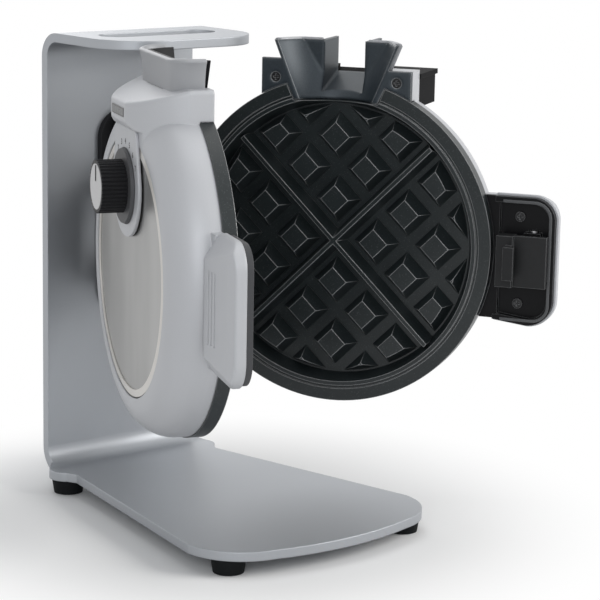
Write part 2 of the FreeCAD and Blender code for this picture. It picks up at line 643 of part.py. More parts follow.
def housing(side, neck):
    outer_neck = neck(side + "_neck", as_dim(0), neck_start[side])
    if side == "left":
        outer_neck = rounded("left_neck_soft", outer_neck, S.neck_round, lambda edge:
                             edge.CenterOfMass.y > 2 and edge.CenterOfMass.z > S.hood_low.value - 2)
    shell_parts = [dome(side + "_dome", as_dim(0)), outer_neck,
                   box(side + "_pad", S.pad_from, S.pad_to, S.rim_back, S.pad_w, S.pad_low, S.pad_high)]
    hollow = lathe(side + "_hollow", [
        (0, S.dome_w - S.dome_wall),
        (0, S.rim_back - 1),
        (S.dome_r - S.dome_wall, S.rim_back - 1),
        (S.dome_r - S.dome_wall, arc_foot),
        (flat_r, S.dome_w - S.dome_wall, S.dome_arc - S.dome_wall, 1),
    ], **disc_at)
    shell = cut(side + "_shell", fuse(side + "_skin", *shell_parts), hollow,
                neck(side + "_neck_room", S.neck_wall, as_dim(-1)),
                rod(side + "_plate_room", S.plate_r + S.liner_gap, S.rim_back + 1, S.disc_u, -1, S.disc_z,
                    "y"))
    extras = [lathe(side + "_ledge", [
        (S.window_r, S.recess_w - S.ledge),
        (S.recess_r + S.ledge, S.recess_w - S.ledge),
        (S.recess_r + S.ledge, S.dome_w),
        (S.window_r, S.dome_w),
    ], **disc_at)]
    for u, z in boss_spots:
        extras.append(rod(side + "_boss", S.boss_r + 1, boss_long[side], u, S.liner_slab, z, "y"))
    tools = [rod(side + "_recess", S.recess_r, S.hood_w - S.recess_w, S.disc_u, S.recess_w, S.disc_z, "y"),
             funnel(side + "_cup_hole", S.mouth_low, S.cup_top, S.liner_wall + S.cup_wall + 2 * S.cup_fit)]
    if side == "right":
        tools.append(chute_block("housing_chute_room", -2 * S.cup_fit, S.chute_wall + 2 * S.cup_fit,
                                 S.notch_w, S.cap_out, top_room))
    low, high = arm_levels[side]
    tools.append(box(side + "_arm_slot", 0, S.arm_plate_to + S.arm_slot_gap, 0, arm_back + S.arm_slot_gap,
                     low - S.arm_slot_gap, high + S.knuckle_high + S.arm_slot_gap))
    for u, z in boss_spots:
        tools.append(rod(side + "_boss_hole", S.screw_r + S.latch_fit, S.screw_long + 1, u, 0, z, "y"))
    if side == "left":
        tools.append(box("lens_window", S.disc_u - S.lens_half - S.lens_fit,
                         S.disc_u + S.lens_half + S.lens_fit,
                         S.hood_w - S.neck_wall - 1, S.hood_w + 1, S.lens_z - S.lens_high / 2 - S.lens_fit,
                         S.lens_z + S.lens_high / 2 + S.lens_fit))
    return cut(side + "_housing_body", fuse(side + "_shell_full", shell, *extras), *tools)


hang(housing("left", left_neck), "left", "left_housing")
hang(housing("right", right_neck), "right", "right_housing")

# cover discs and bezels
cover_disc = rod("cover_disc", S.cover_r, S.cover_thick, S.disc_u, S.recess_w, S.disc_z, "y")
spindle_room = rod("spindle_room", S.spindle_r + 1, S.cover_thick + 2, S.disc_u, S.recess_w - 1, S.dial_z,
                   "y")
hang(cut("left_cover", cover_disc, spindle_room), "left", "left_cover_disc")
hang(cover_disc, "right", "right_cover_disc")
cover_top = S.recess_w + S.cover_thick
bezel = lathe("bezel", [
    (S.bezel_in, cover_top),
    (S.cover_r, cover_top),
    (S.cover_r, cover_top + S.bezel_edge),
    (S.bezel_in, cover_top + S.bezel_thick),
], **disc_at)
hang_both(bezel, "bezel_ring")

# hinge arms
for side, (low, high) in arm_levels.items():
    parts = [box(side + "_arm_plate", S.arm_plate_start, S.arm_plate_to, S.rim_back, arm_back, low,
                 high + S.knuckle_high)]
    for z in (low, high):
        parts.append(rod(side + "_knuckle", S.knuckle_r, S.knuckle_high, 0, 0, z))
        parts.append(prism(side + "_web", "xy", [
            (0, S.arm_web_from),
            (S.arm_web_to, S.arm_web_from),
            (S.arm_web_to, S.rim_back),
            (S.arm_plate_to, S.rim_back),
            (S.arm_plate_to, arm_back),
            (S.knuckle_r + 2.5, arm_back),
            (S.knuckle_r / 2, S.knuckle_r - 0.5),
            (0, S.knuckle_r - 0.5),
        ], z, z + S.knuckle_high))
    bore = rod(side + "_knuckle_bore", S.pin_r + S.pin_fit, S.stand_high)
    hang(cut(side + "_arm", fuse(side + "_arm_body", *parts), bore), side, side + "_hinge_arm")


# spouts
def screws(name, spots, face, head_r, head, radius, long):
    made = []
    for u, z in spots:
        body = fuse(name, rod(name + "_head", head_r, head, u, face, z, "y"),
                    rod(name + "_shank", radius, long, u, face + head, z, "y"))
        slots = [box(name + "_slot", u - head_r * 0.6, u + head_r * 0.6, face - 1, face + S.screw_slot_deep,
                     z - S.screw_slot / 2, z + S.screw_slot / 2),
                 box(name + "_slot", u - S.screw_slot / 2, u + S.screw_slot / 2, face - 1,
                     face + S.screw_slot_deep, z - head_r * 0.6, z + head_r * 0.6)]
        made.append(cut(name + "_cut", body, *slots))
    return group(name + "_set", *made)


front_half = box("front_half", 0, S.grip_end, S.plate_gap, S.grip_end, S.neck_low, top_room)
left_slab = box("left_slab", S.disc_u - S.liner_half, S.disc_u + S.liner_half, S.plate_gap, S.liner_slab,
                S.funnel_low, S.liner_top)
right_slab = prism("right_slab", "xz", [
    (S.disc_u - S.neck_half, S.funnel_low),
    (S.disc_u + S.neck_half, S.funnel_low),
    (S.disc_u + S.neck_half, S.neck_top),
    (S.disc_u, S.neck_top),
    (S.disc_u, S.neck_top + S.ear_rise),
    (S.disc_u - S.neck_half, S.neck_top + S.ear_rise),
], S.plate_gap, S.liner_slab)
mouth_fill = prism("mouth_fill", "xz", [
    (S.disc_u - S.mouth_half_low + S.liner_gap, S.funnel_low),
    (S.disc_u + S.mouth_half_low - S.liner_gap, S.funnel_low),
    (S.disc_u + S.mouth_half_top - S.liner_gap, S.disc_z + S.plate_r + 2),
    (S.disc_u - S.mouth_half_top + S.liner_gap, S.disc_z + S.plate_r + 2),
], -1, S.plate_back)
rim_round = rod("rim_round", S.plate_r + S.liner_gap, S.plate_back, S.disc_u, -1, S.disc_z, "y")
rim_less_mouth = cut("rim_less_mouth", rim_round, mouth_fill)
left_ears = cut("left_ears", left_slab, rim_less_mouth)
right_ears = cut("right_ears", right_slab, rim_less_mouth)
liner_cone = common("liner_cone", funnel("liner_cone_full", S.funnel_low, S.funnel_top, S.liner_wall),
                    front_half)
head_face = S.plate_gap + 0.2
liner_tools = [funnel("liner_bore", S.funnel_low - 1, S.funnel_top + 1, as_dim(0))]
for u, z in boss_spots:
    liner_tools.append(rod("ear_hole", S.screw_r + S.latch_fit, S.liner_slab + 1, u, 0, z, "y"))
    liner_tools.append(rod("ear_counterbore", S.screw_head_r + S.latch_fit, head_face + S.screw_head + 1,
                           u, -1, z, "y"))
hang(cut("left_liner", fuse("left_liner_full", left_ears, liner_cone), *liner_tools), "left",
     "left_spout_liner")
chute = chute_block("chute", as_dim(0), S.chute_wall, S.chute_root, S.chute_to, S.funnel_top)
chute_bore = chute_block("chute_bore", S.chute_wall, as_dim(0), S.notch_w, S.chute_to + 1, top_room)
hang(cut("right_liner", fuse("right_liner_full", right_ears, liner_cone, chute), chute_bore, *liner_tools),
     "right", "right_spout_liner")
ear_screws = screws("ear_screw", boss_spots, head_face, S.screw_head_r, S.screw_head, S.screw_r,
                    S.screw_long - 1)
hang_both(ear_screws, "spout_screws")
cup_body = common("cup_body", funnel("cup_outer", S.cup_low, S.cup_top,
                                     S.liner_wall + S.cup_fit + S.cup_wall), front_half)
cup_tools = [funnel("cup_bore", S.cup_low - 1, S.funnel_top, S.liner_wall + S.cup_fit),
             funnel("cup_lip_bore", S.funnel_top - 0.5, S.cup_top + 1, as_dim(0)),
             box("cup_slab_room", 0, S.grip_end, 0, S.liner_slab + S.cup_fit, S.neck_low, top_room)]
cup_soft = rounded("cup_soft", cup_body, S.cup_round, lambda edge:
                   edge.CenterOfMass.z > S.cup_top.value - 0.05 and edge.CenterOfMass.y > 1)
hang(cut("left_cup", cup_soft, *cup_tools), "left", "left_spout_cup")
cup_chute_room = chute_block("cup_chute_room", -S.cup_fit, S.chute_wall + S.cup_fit, S.notch_w, S.cap_out,
                             top_room)
hang(cut("right_cup", cup_soft, cup_chute_room, *cup_tools), "right", "right_spout_cup")


# handles
def grip_outline(inset, root):
    return [
        (root, S.grip_low + inset + 2.5),
        (S.grip_end - S.grip_low_arc, S.grip_low + inset),
        (S.grip_end - inset, S.grip_low + S.grip_low_arc, S.grip_low_arc - inset, 1),
        (S.grip_end - inset, S.grip_top - S.grip_top_arc),
        (S.grip_end - S.grip_top_arc, S.grip_top - inset, S.grip_top_arc - inset, 1),
        (root, S.grip_top - inset),
    ]


def grip_block(name, inset, start):
    plan = prism(name + "_face", "xz", grip_outline(inset, S.pad_to + inset), start, S.grip_w + 1)
    depth = prism(name + "_depth", "xy", [
        (S.pad_to, start),
        (S.grip_end + 1, start),
        (S.grip_end + 1, S.grip_end_w - inset),
        (S.grip_bend_u, S.grip_bend_w - inset),
        (S.pad_to, S.grip_w - inset),
    ], S.grip_low, S.grip_top)
    bevel = prism(name + "_bevel", "yz", [
        (start, S.grip_low),
        (S.grip_bevel_w - inset * 0.5, S.grip_low),
        (S.grip_w - inset * 0.5, S.grip_low + S.grip_bevel),
        (S.grip_w - inset * 0.5, S.grip_top - S.grip_bevel),
        (S.grip_bevel_w - inset * 0.5, S.grip_top),
        (start, S.grip_top),
    ], S.pad_to, S.grip_end)
    return common(name, plan, depth, bevel)


tray_back = S.tray_floor_w + S.tray_floor
hook_out = S.latch_u - S.press_before + S.thumb_long
hook_slot = box("hook_slot", hook_out - S.hook_thick - S.hook_swing,
                hook_out + S.keeper_edge + S.keeper_seat,
                S.liner_face_w - 1, tray_back + 1, S.latch_mid - S.hook_half - S.hook_side_gap,
                S.latch_mid + S.hook_half + S.hook_side_gap)
lever_slot = box("lever_slot", S.latch_u - S.latch_slot_before, S.grip_end - S.liner_inset - S.liner_rim,
                 S.latch_w - 7, tray_back + 1,
                 S.latch_low - S.latch_side_gap, S.latch_high + S.latch_side_gap)


def grip_outer_edge(edge):
    """Whether an edge of a grip lies on its outer side, past the spout pads."""
    middle = edge.CenterOfMass
    return middle.y > S.rim_back.value + 1 and middle.x > S.pad_to.value + 1


for side in ("left", "right"):
    outer = rounded(side + "_grip_soft", grip_block(side + "_grip", as_dim(0), S.rim_back), S.grip_round,
                    grip_outer_edge)
    inner = grip_block(side + "_grip_room", S.grip_wall, S.rim_back - 1)
    bosses, holes = [], []
    for u, z in grip_spots:
        bosses.append(rod(side + "_grip_boss", S.boss_r, S.grip_w, u, tray_back, z, "y"))
        holes.append(rod(side + "_grip_hole", S.screw_r + S.latch_fit, S.screw_long - 1.9, u,
                         S.tray_floor_w, z, "y"))
    grip_tools = list(holes)
    if side == "left":
        for step in (-1, 0, 1):
            u = S.pad_to + S.groove_start + step * S.groove_pitch
            grip_tools.append(box("grip_groove", u, u + S.groove_wide, S.grip_w - 2.2 - S.groove_deep,
                                  S.grip_w + 1, S.latch_mid - S.groove_long / 2,
                                  S.latch_mid + S.groove_long / 2))
    grip_shell = fuse(side + "_grip_shell", cut(side + "_grip_skin", outer, inner),
                      common(side + "_grip_bosses", group(side + "_grip_boss_set", *bosses), outer))
    hang(cut(side + "_handle", grip_shell, *grip_tools), side, side + "_handle_shell")

    band = prism(side + "_band", "xz", grip_outline(S.liner_inset, S.pad_to), S.liner_face_w, S.rim_back)
    tray = prism(side + "_tray", "xz", grip_outline(S.grip_wall + 0.2, S.pad_to + S.grip_wall + 0.2),
                 S.rim_back, tray_back)
    root = cut(side + "_root", box(side + "_root_plate", S.grip_root, S.pad_to + 1, S.rim_back - 2,
                                   S.rim_back, S.grip_root_low, S.grip_top - S.liner_inset),
               rod(side + "_root_round", S.liner_rim_clear, S.plate_back, S.disc_u, 0, S.disc_z, "y"))
    recess = prism(side + "_tray_recess", "xz", grip_outline(S.liner_inset + S.liner_rim, S.pad_to + 2.5),
                   S.liner_face_w - 1, S.tray_floor_w)
    root_gap = box(side + "_root_gap", S.grip_root, S.pad_to + 4, S.liner_face_w - 1, S.rim_back - 2,
                   S.grip_low + S.liner_rim + 3, S.grip_top - S.liner_rim - S.liner_inset)
    liner_tools = [recess, root_gap, lever_slot if side == "right" else hook_slot]
    for u, z in grip_spots:
        liner_tools.append(rod(side + "_liner_hole", S.screw_r + S.latch_fit, tray_back, u, 0, z, "y"))
    handle_liner = cut(side + "_liner_cut", fuse(side + "_liner_full", band, tray, root), *liner_tools)
    if side == "right":
        cheeks = []
        for low in (S.latch_low - S.latch_side_gap - S.cheek, S.latch_high + S.latch_side_gap):
            cheeks.append(box("cheek", S.latch_u - S.cheek_half, S.latch_u + S.cheek_half,
                              S.liner_face_w + 0.5, tray_back, low, low + S.cheek))
        pin_start = S.latch_low - S.latch_side_gap - S.cheek
        pin_end = S.latch_high + S.latch_side_gap + S.cheek
        pin_hole = rod("latch_pin_hole", S.latch_pin_r + S.latch_fit, pin_end - pin_start,
                       S.latch_u, S.latch_w, pin_start)
        head_room = rod("latch_head_room", S.latch_pin_r + 1 + S.liner_gap, 1 + S.liner_gap, S.latch_u,
                        S.latch_w, S.latch_high + S.latch_side_gap + S.cheek)
        handle_liner = cut("right_liner_pinned", fuse("right_liner_cheeked", handle_liner, *cheeks),
                           pin_hole, head_room)
    hang(handle_liner, side, side + "_handle_liner")
    grip_screws = screws(side + "_grip_screw", grip_spots, S.tray_floor_w - S.screw_head, S.screw_head_r,
                         S.screw_head, S.screw_r, S.screw_long - 2)
    hang(grip_screws, side, side + "_handle_screws")

# latch
cheek_top = S.latch_high + S.latch_side_gap + S.cheek
latch_pin = fuse("latch_pin_body",
                 rod("latch_pin_shank", S.latch_pin_r, cheek_top - S.latch_low + S.latch_side_gap + S.cheek,
                     S.latch_u, S.latch_w, S.latch_low - S.latch_side_gap - S.cheek),
                 rod("latch_pin_head", S.latch_pin_r + 1, 1, S.latch_u, S.latch_w, cheek_top))
hang(latch_pin, "right", "latch_pin")
lever_body = fuse(
    "lever_body",
    rod("lever_hub", S.latch_hub_r, S.latch_high - S.latch_low, S.latch_u, S.latch_w, S.latch_low),
    box("lever_block", S.latch_u, S.latch_u + S.lever_back, 0, S.lever_high_w, S.latch_low, S.latch_high),
    box("lever_hook", hook_out - S.hook_thick, hook_out, -S.hook_reach, 0, S.latch_mid - S.hook_half,
        S.latch_mid + S.hook_half),
    box("lever_barb", hook_out - 1, hook_out + S.barb, -S.hook_reach, S.barb_thick - S.hook_reach,
        S.latch_mid - S.hook_half, S.latch_mid + S.hook_half),
    box("lever_press", S.latch_u - S.press_before, S.latch_u + S.press_after, -S.press_front, S.press_back,
        S.latch_mid - S.press_half, S.latch_mid + S.press_half),
    box("lever_thumb", S.latch_u - S.press_before, hook_out, -S.thumb_front, S.thumb_back,
        S.latch_mid - S.press_half, S.latch_mid + S.press_half))
lever = cut("lever", lever_body,
            rod("lever_bore", S.latch_pin_r + S.latch_fit, S.latch_high, S.latch_u, S.latch_w,
                S.latch_low - 1),
            rod("spring_pocket", S.latch_pin_r + 1.8, S.spring_high + 1, S.latch_u, S.latch_w,
                S.latch_high - S.spring_high))
hang(lever, "right", "latch_lever")
keeper_from = hook_out + S.keeper_edge
keeper = box("keeper", keeper_from, keeper_from + S.keeper_long,
             S.tray_floor_w - S.keeper_thick, S.tray_floor_w,
             S.latch_mid - S.keeper_half, S.latch_mid + S.keeper_half)
hang(keeper, "left", "latch_keeper")

# dial, knob and indicator
dial_face = S.dome_w + S.dial_thick
dial_plate = prism("dial_plate", "xz", [
    (S.disc_u - S.dial_r * 0.98, S.dial_z + S.dial_r * 0.199),
    (S.disc_u, S.dial_z - S.dial_r, S.dial_r, 1),
    (S.disc_u + S.dial_r * 0.98, S.dial_z + S.dial_r * 0.199, S.dial_r, 1),
    (S.disc_u + S.dial_neck_half, S.dial_top),
    (S.disc_u - S.dial_neck_half, S.dial_top),
], S.dome_w, dial_face)
bore_r = S.spindle_r + S.spindle_fit
hang(cut("dial_body", dial_plate, rod("dial_bore", bore_r, S.hood_w, S.disc_u, 0, S.dial_z, "y")), "left",
     "dial_panel")
skirt_w = dial_face + S.skirt_gap
knob_w = skirt_w + S.skirt_thick
knob_face = knob_w + S.knob_long
spindle_from = shield_top + 1.2
spindle_to = knob_w + S.knob_long / 2
knob_at = (S.disc_u, 0, S.dial_z, "y")
skirt = cut("skirt", taper("skirt_body", S.skirt_r, S.skirt_r - 0.8, S.skirt_thick, S.disc_u, skirt_w,
                           S.dial_z, "y"),
            rod("skirt_bore", bore_r, knob_face, *knob_at))
hang(skirt, "left", "knob_skirt")
rib_count = 40
ribs = []
for step in range(rib_count):
    turn = 2 * math.pi * step / rib_count
    ribs.append(rod("rib", S.knob_ribs, S.knob_long, S.disc_u + S.knob_r * math.cos(turn), knob_w,
                    S.dial_z + S.knob_r * math.sin(turn), "y"))
knob = cut("knob", rod("knob_body", S.knob_r, S.knob_long, S.disc_u, knob_w, S.dial_z, "y"),
           rod("knob_bore", bore_r, spindle_to, *knob_at),
           rod("knob_cap_seat", S.cap_r + S.latch_fit, S.cap_thick, S.disc_u, knob_face - 0.6, S.dial_z,
               "y"), *ribs)
hang(knob, "left", "control_knob")
hang(rod("knob_cap_body", S.cap_r, S.cap_thick, S.disc_u, knob_face - 0.6, S.dial_z, "y"), "left",
     "knob_cap")
pointer_w = knob_face - 0.6 + S.cap_thick
hang(box("pointer", S.disc_u - S.pointer_wide / 2, S.disc_u + S.pointer_wide / 2, pointer_w,
         pointer_w + S.pointer_high, S.dial_z + S.cap_r - S.pointer_long - 0.8, S.dial_z + S.cap_r - 0.8),
     "left", "knob_pointer")
hang(rod("spindle", S.spindle_r, spindle_to - spindle_from, S.disc_u, spindle_from, S.dial_z, "y"),
     "left", "knob_spindle")
thermostat = cut("thermostat_body", box("thermostat_case", S.disc_u - S.thermostat_half,
                                        S.disc_u + S.thermostat_half,
                                        shield_top, S.thermostat_w, S.dial_z - S.thermostat_half,
                                        S.dial_z + S.thermostat_half),
                 rod("thermostat_bore", bore_r, S.dome_w, S.disc_u, spindle_from - 0.2, S.dial_z, "y"))
hang(thermostat, "left", "thermostat")
fuse_link = box("fuse_case", S.disc_u - S.fuse_long / 2, S.disc_u + S.fuse_long / 2, shield_top,
                shield_top + S.fuse_high, S.fuse_z - S.fuse_wide / 2, S.fuse_z + S.fuse_wide / 2)
hang(fuse_link, "left", "thermal_fuse")
lens_back = S.hood_w - S.neck_wall
lens = fuse("lens", box("lens_front", S.disc_u - S.lens_half, S.disc_u + S.lens_half, lens_back - 0.5,
                        S.hood_w + 0.2, S.lens_z - S.lens_high / 2, S.lens_z + S.lens_high / 2),
            box("lens_flange", S.disc_u - S.lens_half - 1.2, S.disc_u + S.lens_half + 1.2, lens_back - 1,
                lens_back, S.lens_z - S.lens_high / 2 - 1.2, S.lens_z + S.lens_high / 2 + 1.2))
hang(lens, "left", "indicator_lens")
lamps = [rod("lamp", S.lamp_r, S.lamp_long, S.disc_u + end * S.lamp_step, lens_back - 1 - S.lamp_long,
             S.lens_z, "y")
         for end in (-1, 1)]
hang(group("lamp_pair", *lamps), "left", "indicator_lamps")

# right neck cap with its terminal block and cord gland
cap_box = fuse("cap_box", box("cap_outer", S.disc_u - S.cap_half, S.disc_u + S.cap_half, S.right_neck_w,
                              S.cap_out, S.cap_low, S.cap_high),
               box("cap_rim", S.disc_u - S.cap_half - S.cap_lip, S.disc_u + S.cap_half + S.cap_lip,
                   S.right_neck_w, S.cap_out + S.cap_lip, S.cap_high - S.cap_lip_high, S.cap_high))
cap_room = box("cap_room", S.disc_u - S.cap_half + S.cap_wall, S.disc_u + S.cap_half - S.cap_wall,
               S.right_neck_w - 1, S.cap_out - S.cap_wall, S.cap_low - 1, S.cap_high - S.cap_wall)
gland_w = (S.right_neck_w + S.cap_out) / 2
gland_hole = rod("gland_hole", S.gland_bore, S.cap_half, S.disc_u - S.cap_half - 1, gland_w, S.gland_z, "x")
cup_room = funnel("cap_cup_room", S.mouth_low, S.stand_high,
                  S.liner_wall + S.cup_wall + S.cup_fit + S.cap_clear)
trough_clear = S.chute_wall + S.cap_clear
trough = chute_block("trough", -S.cap_clear - S.cap_wall, trough_clear + S.cap_wall, S.right_neck_w,
                     S.cap_out, S.cap_high)
trough_room = chute_block("trough_room", -S.cap_clear, trough_clear, S.notch_w, S.cap_out + S.cap_lip + 1,
                          top_room)
hang(cut("neck_cap_body", fuse("cap_shell", cut("cap_hollow", cap_box, cap_room), trough), trough_room,
         dome("cap_dome_room", S.cap_clear), cup_room, gland_hole), "right", "neck_cap")
gland_body = cut("gland_body", rod("gland", S.gland_r, S.gland_long, S.disc_u - S.cap_half - S.gland_long,
                                   gland_w, S.gland_z, "x"),
                 rod("gland_bore", S.gland_bore, S.gland_long + 2,
                     S.disc_u - S.cap_half - S.gland_long - 1, gland_w, S.gland_z, "x"))
hang(gland_body, "right", "cord_gland")
terminal_out = S.cap_out - S.cap_wall
terminal_top = S.cap_high - S.cap_wall
terminal_u = S.disc_u - S.terminal_back
terminal = box("terminal", terminal_u - S.terminal_half, terminal_u + S.terminal_half,
               terminal_out - S.terminal_deep, terminal_out, terminal_top - S.terminal_high, terminal_top)
hang(terminal, "right", "terminal_block")


doc.recompute()
faults = [o.Name for o in doc.Objects if "Invalid" in o.State or "Error" in o.State]
faults += [n.Label for n in NODES if n.Shape.isNull() or not n.Shape.isValid()]
if faults:
    raise RuntimeError("not built: %s" % ", ".join(faults))
os.makedirs("parts", exist_ok=True)
for node in NODES:
    node.Shape.exportStep("parts/%s.step" % node.Label)
    bounds = node.Shape.BoundBox
    print("%-24s solids %d volume %10.1f  x %7.1f %7.1f  y %7.1f %7.1f  z %7.1f %7.1f" % (
        node.Label, len(node.Shape.Solids), node.Shape.Volume, bounds.XMin, bounds.XMax, bounds.YMin,
        bounds.YMax, bounds.ZMin, bounds.ZMax))
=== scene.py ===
# %% [markdown]
# # A vertical waffle maker
# This lesson dresses a finished CAD model. The solids come in as a fixed frame, and every later cell
# adds light, a finish or a small piece to them.

# %% Load the solids
import bpy
import json
import math
from mathutils import Matrix, Vector


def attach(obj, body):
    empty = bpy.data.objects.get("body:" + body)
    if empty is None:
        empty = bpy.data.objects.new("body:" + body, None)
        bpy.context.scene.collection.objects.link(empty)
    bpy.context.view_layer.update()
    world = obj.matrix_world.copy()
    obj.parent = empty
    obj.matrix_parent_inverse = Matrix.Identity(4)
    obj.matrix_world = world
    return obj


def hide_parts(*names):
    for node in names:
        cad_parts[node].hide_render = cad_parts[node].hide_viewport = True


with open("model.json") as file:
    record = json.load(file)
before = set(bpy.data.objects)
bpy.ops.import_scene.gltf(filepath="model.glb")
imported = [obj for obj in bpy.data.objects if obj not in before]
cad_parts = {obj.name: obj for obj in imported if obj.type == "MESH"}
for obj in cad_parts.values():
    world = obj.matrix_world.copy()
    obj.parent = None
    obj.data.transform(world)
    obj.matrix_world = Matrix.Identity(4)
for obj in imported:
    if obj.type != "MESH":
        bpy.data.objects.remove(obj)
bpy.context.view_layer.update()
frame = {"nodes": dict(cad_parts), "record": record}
nodes = frame["nodes"]
scene = bpy.context.scene
bpy.ops.object.select_all(action="DESELECT")

# %% [markdown]
# ## Camera
# A product picture is taken from far away with a long lens, which keeps the two round halves from
# looking stretched. We give the camera its place, its heading, its pitch and a trace of roll, and build
# its axes from those, so that each number can be read and changed by itself.

# %% Place the camera
HEADING, PITCH, ROLL = math.radians(39.61), math.radians(11.68), math.radians(1.08)
CAMERA_PLACE = (-0.8350, -1.0813, 0.4163)
LENS_MM, SENSOR_MM = 138.77, 36
forward = Vector((
    math.sin(HEADING) * math.cos(PITCH),
    math.cos(HEADING) * math.cos(PITCH),
    -math.sin(PITCH),
))
level = Vector((math.cos(HEADING), -math.sin(HEADING), 0))
upright = level.cross(forward)
right = level * math.cos(ROLL) + upright * math.sin(ROLL)
up = upright * math.cos(ROLL) - level * math.sin(ROLL)

bpy.ops.object.camera_add()
camera = bpy.context.active_object
camera.data.sensor_width = SENSOR_MM
camera.data.lens = LENS_MM
turn = Matrix((right, up, -forward)).transposed().to_4x4()
camera.matrix_world = Matrix.Translation(CAMERA_PLACE) @ turn
camera.data.clip_start, camera.data.clip_end = 0.05, 60
scene.camera = camera
print("lens in mm:", camera.data.lens)

# %% [markdown]
# ## Shader maths
# A finish is a small sum of patterns. Wiring every Math node by hand hides that sum, so one class wraps
# a socket: plus, minus and times on it add the Math nodes, and one method makes any other node.


# %% A socket that can be reckoned with
class Wire:
    """One socket of a material's nodes, with arithmetic."""

    def __init__(self, tree, socket=None):
        self.tree = tree
        self.socket = socket

    def node(self, kind, settings, inputs, output=0):
        made = self.tree.nodes.new(kind)
        for key, value in settings.items():
            setattr(made, key, value)
        for key, value in inputs.items():
            if isinstance(value, Wire):
                self.tree.links.new(value.socket, made.inputs[key])
            else:
                made.inputs[key].default_value = value
        return Wire(self.tree, made.outputs[output] if made.outputs else None)

    def sum_of(self, operation, first, second):
        return self.node("ShaderNodeMath", {"operation": operation}, {0: first, 1: second})

    def __add__(self, other):
        return self.sum_of("ADD", self, other)

    __radd__ = __add__

    def __sub__(self, other):
        return self.sum_of("SUBTRACT", self, other)

    def __rsub__(self, other):
        return self.sum_of("SUBTRACT", other, self)

    def __mul__(self, other):
        return self.sum_of("MULTIPLY", self, other)

    __rmul__ = __mul__

    def above(self, level, spread):
        """0 below the level, 1 once spread past it."""
        return self.node("ShaderNodeMapRange", {"interpolation_type": "SMOOTHSTEP"},
                         {"Value": self, "From Min": level, "From Max": level + spread})


print("Wire is ready")

# %% [markdown]
# ## Floor, white background and studio light
# The object stands on a pale sheet under large soft lamps. Near the object the floor is an ordinary
# matte surface, so it keeps the shadow. Further out it fades into plain white, as an overlit studio
# sweep does, without any more light on the object.


# %% Floor and world
FLOOR_SIZE, FLOOR_DROP = 24, 0.0003
FADE_FROM, FADE_OVER = 0.11, 0.14


def shows(pen):
    """1 for the rays that show a surface, 0 for those that only carry light from it."""
    kinds = ("Is Camera Ray", "Is Glossy Ray", "Is Transmission Ray")
    direct, mirrored, through = [pen.node("ShaderNodeLightPath", {}, {}, kind) for kind in kinds]
    return direct + mirrored + through


bpy.ops.mesh.primitive_plane_add(size=FLOOR_SIZE, location=(0, 0, -FLOOR_DROP))
floor = bpy.context.active_object
floor.name = "floor"

sweep = bpy.data.materials.new("pale_sweep")
sweep.use_nodes = True
sweep.node_tree.nodes.clear()
pen = Wire(sweep.node_tree)
spot = pen.node("ShaderNodeTexCoord", {}, {}, "Object")
reach = pen.node("ShaderNodeVectorMath", {"operation": "LENGTH"}, {0: spot}, "Value")
fade = reach.above(FADE_FROM, FADE_OVER) * shows(pen)
matte = pen.node("ShaderNodeBsdfDiffuse", {}, {"Color": (0.9, 0.9, 0.9, 1)})
white = pen.node("ShaderNodeEmission", {}, {"Color": (1, 1, 1, 1), "Strength": 1.0})
paper = pen.node("ShaderNodeMixShader", {}, {0: fade, 1: matte, 2: white})
pen.node("ShaderNodeOutputMaterial", {}, {"Surface": paper})
floor.data.materials.append(sweep)

world = bpy.data.worlds.new("studio")
world.use_nodes = True
world.node_tree.nodes.clear()
pen = Wire(world.node_tree)
room = pen.node("ShaderNodeBackground", {}, {"Color": (0.96, 0.98, 1, 1), "Strength": 0.35})
bright = pen.node("ShaderNodeBackground", {}, {"Color": (1, 1, 1, 1), "Strength": 1.0})
sky = pen.node("ShaderNodeMixShader", {}, {0: shows(pen), 1: room, 2: bright})
pen.node("ShaderNodeOutputWorld", {}, {"Surface": sky})
scene.world = world
scene.view_settings.view_transform = "Standard"
print("floor and world are set")

# %% [markdown]
# Three soft boxes and one behind. The one at the front right is the strongest: it makes the bright edge
# that the pegs of the open plate catch. The others only keep the shadows soft, and the back one
# lights the stand when the object is turned round.


# %% Soft boxes
AIM = Vector((0, 0, 0.15))


def soft_box(name, place, width, watts, tint=(1, 1, 1)):
    bpy.ops.object.light_add(type="AREA", location=place)
    lamp = bpy.context.active_object
    lamp.name = name
    lamp.data.shape = "SQUARE"
    lamp.data.size = width
    lamp.data.energy = watts
    lamp.data.color = tint
    lamp.rotation_euler = (AIM - Vector(place)).to_track_quat("-Z", "Y").to_euler()
    return lamp


boxes = [
    soft_box("key_box", (1.25, -1.25, 1.0), 0.9, 21, (1, 0.985, 0.96)),
    soft_box("side_box", (-1.35, -1.35, 0.8), 0.9, 10, (0.96, 0.98, 1)),
    soft_box("top_box", (0.1, 0.1, 1.9), 1.4, 6.5),
    soft_box("back_box", (0.5, 1.8, 1.1), 1.3, 8),
]
print("lamps:", {b.name: b.data.energy for b in boxes})

# %% [markdown]
# ## Directions of a half
# Both halves stand at an angle, like two covers of an open book. Pieces and patterns on them are
# easier to place in the half's own directions: along from the hinge to the handle, out from the
# face where the halves meet, and up.

# %% Directions of a half
HINGE = Vector((0, 0.095, 0))
OPEN = {"left": math.radians(20.9), "right": math.radians(31.2)}
DISC_ALONG, DISC_HEIGHT = 0.133, 0.165


def half_axes(side):
    way = -1 if side == "left" else 1
    along = Vector((way * math.sin(OPEN[side]), -math.cos(OPEN[side]), 0))
    out = Vector((way * math.cos(OPEN[side]), math.sin(OPEN[side]), 0))
    return along, out


def on_half(side, along, out, height):
    ways = half_axes(side)
    return HINGE + ways[0] * along + ways[1] * out + Vector((0, 0, height))


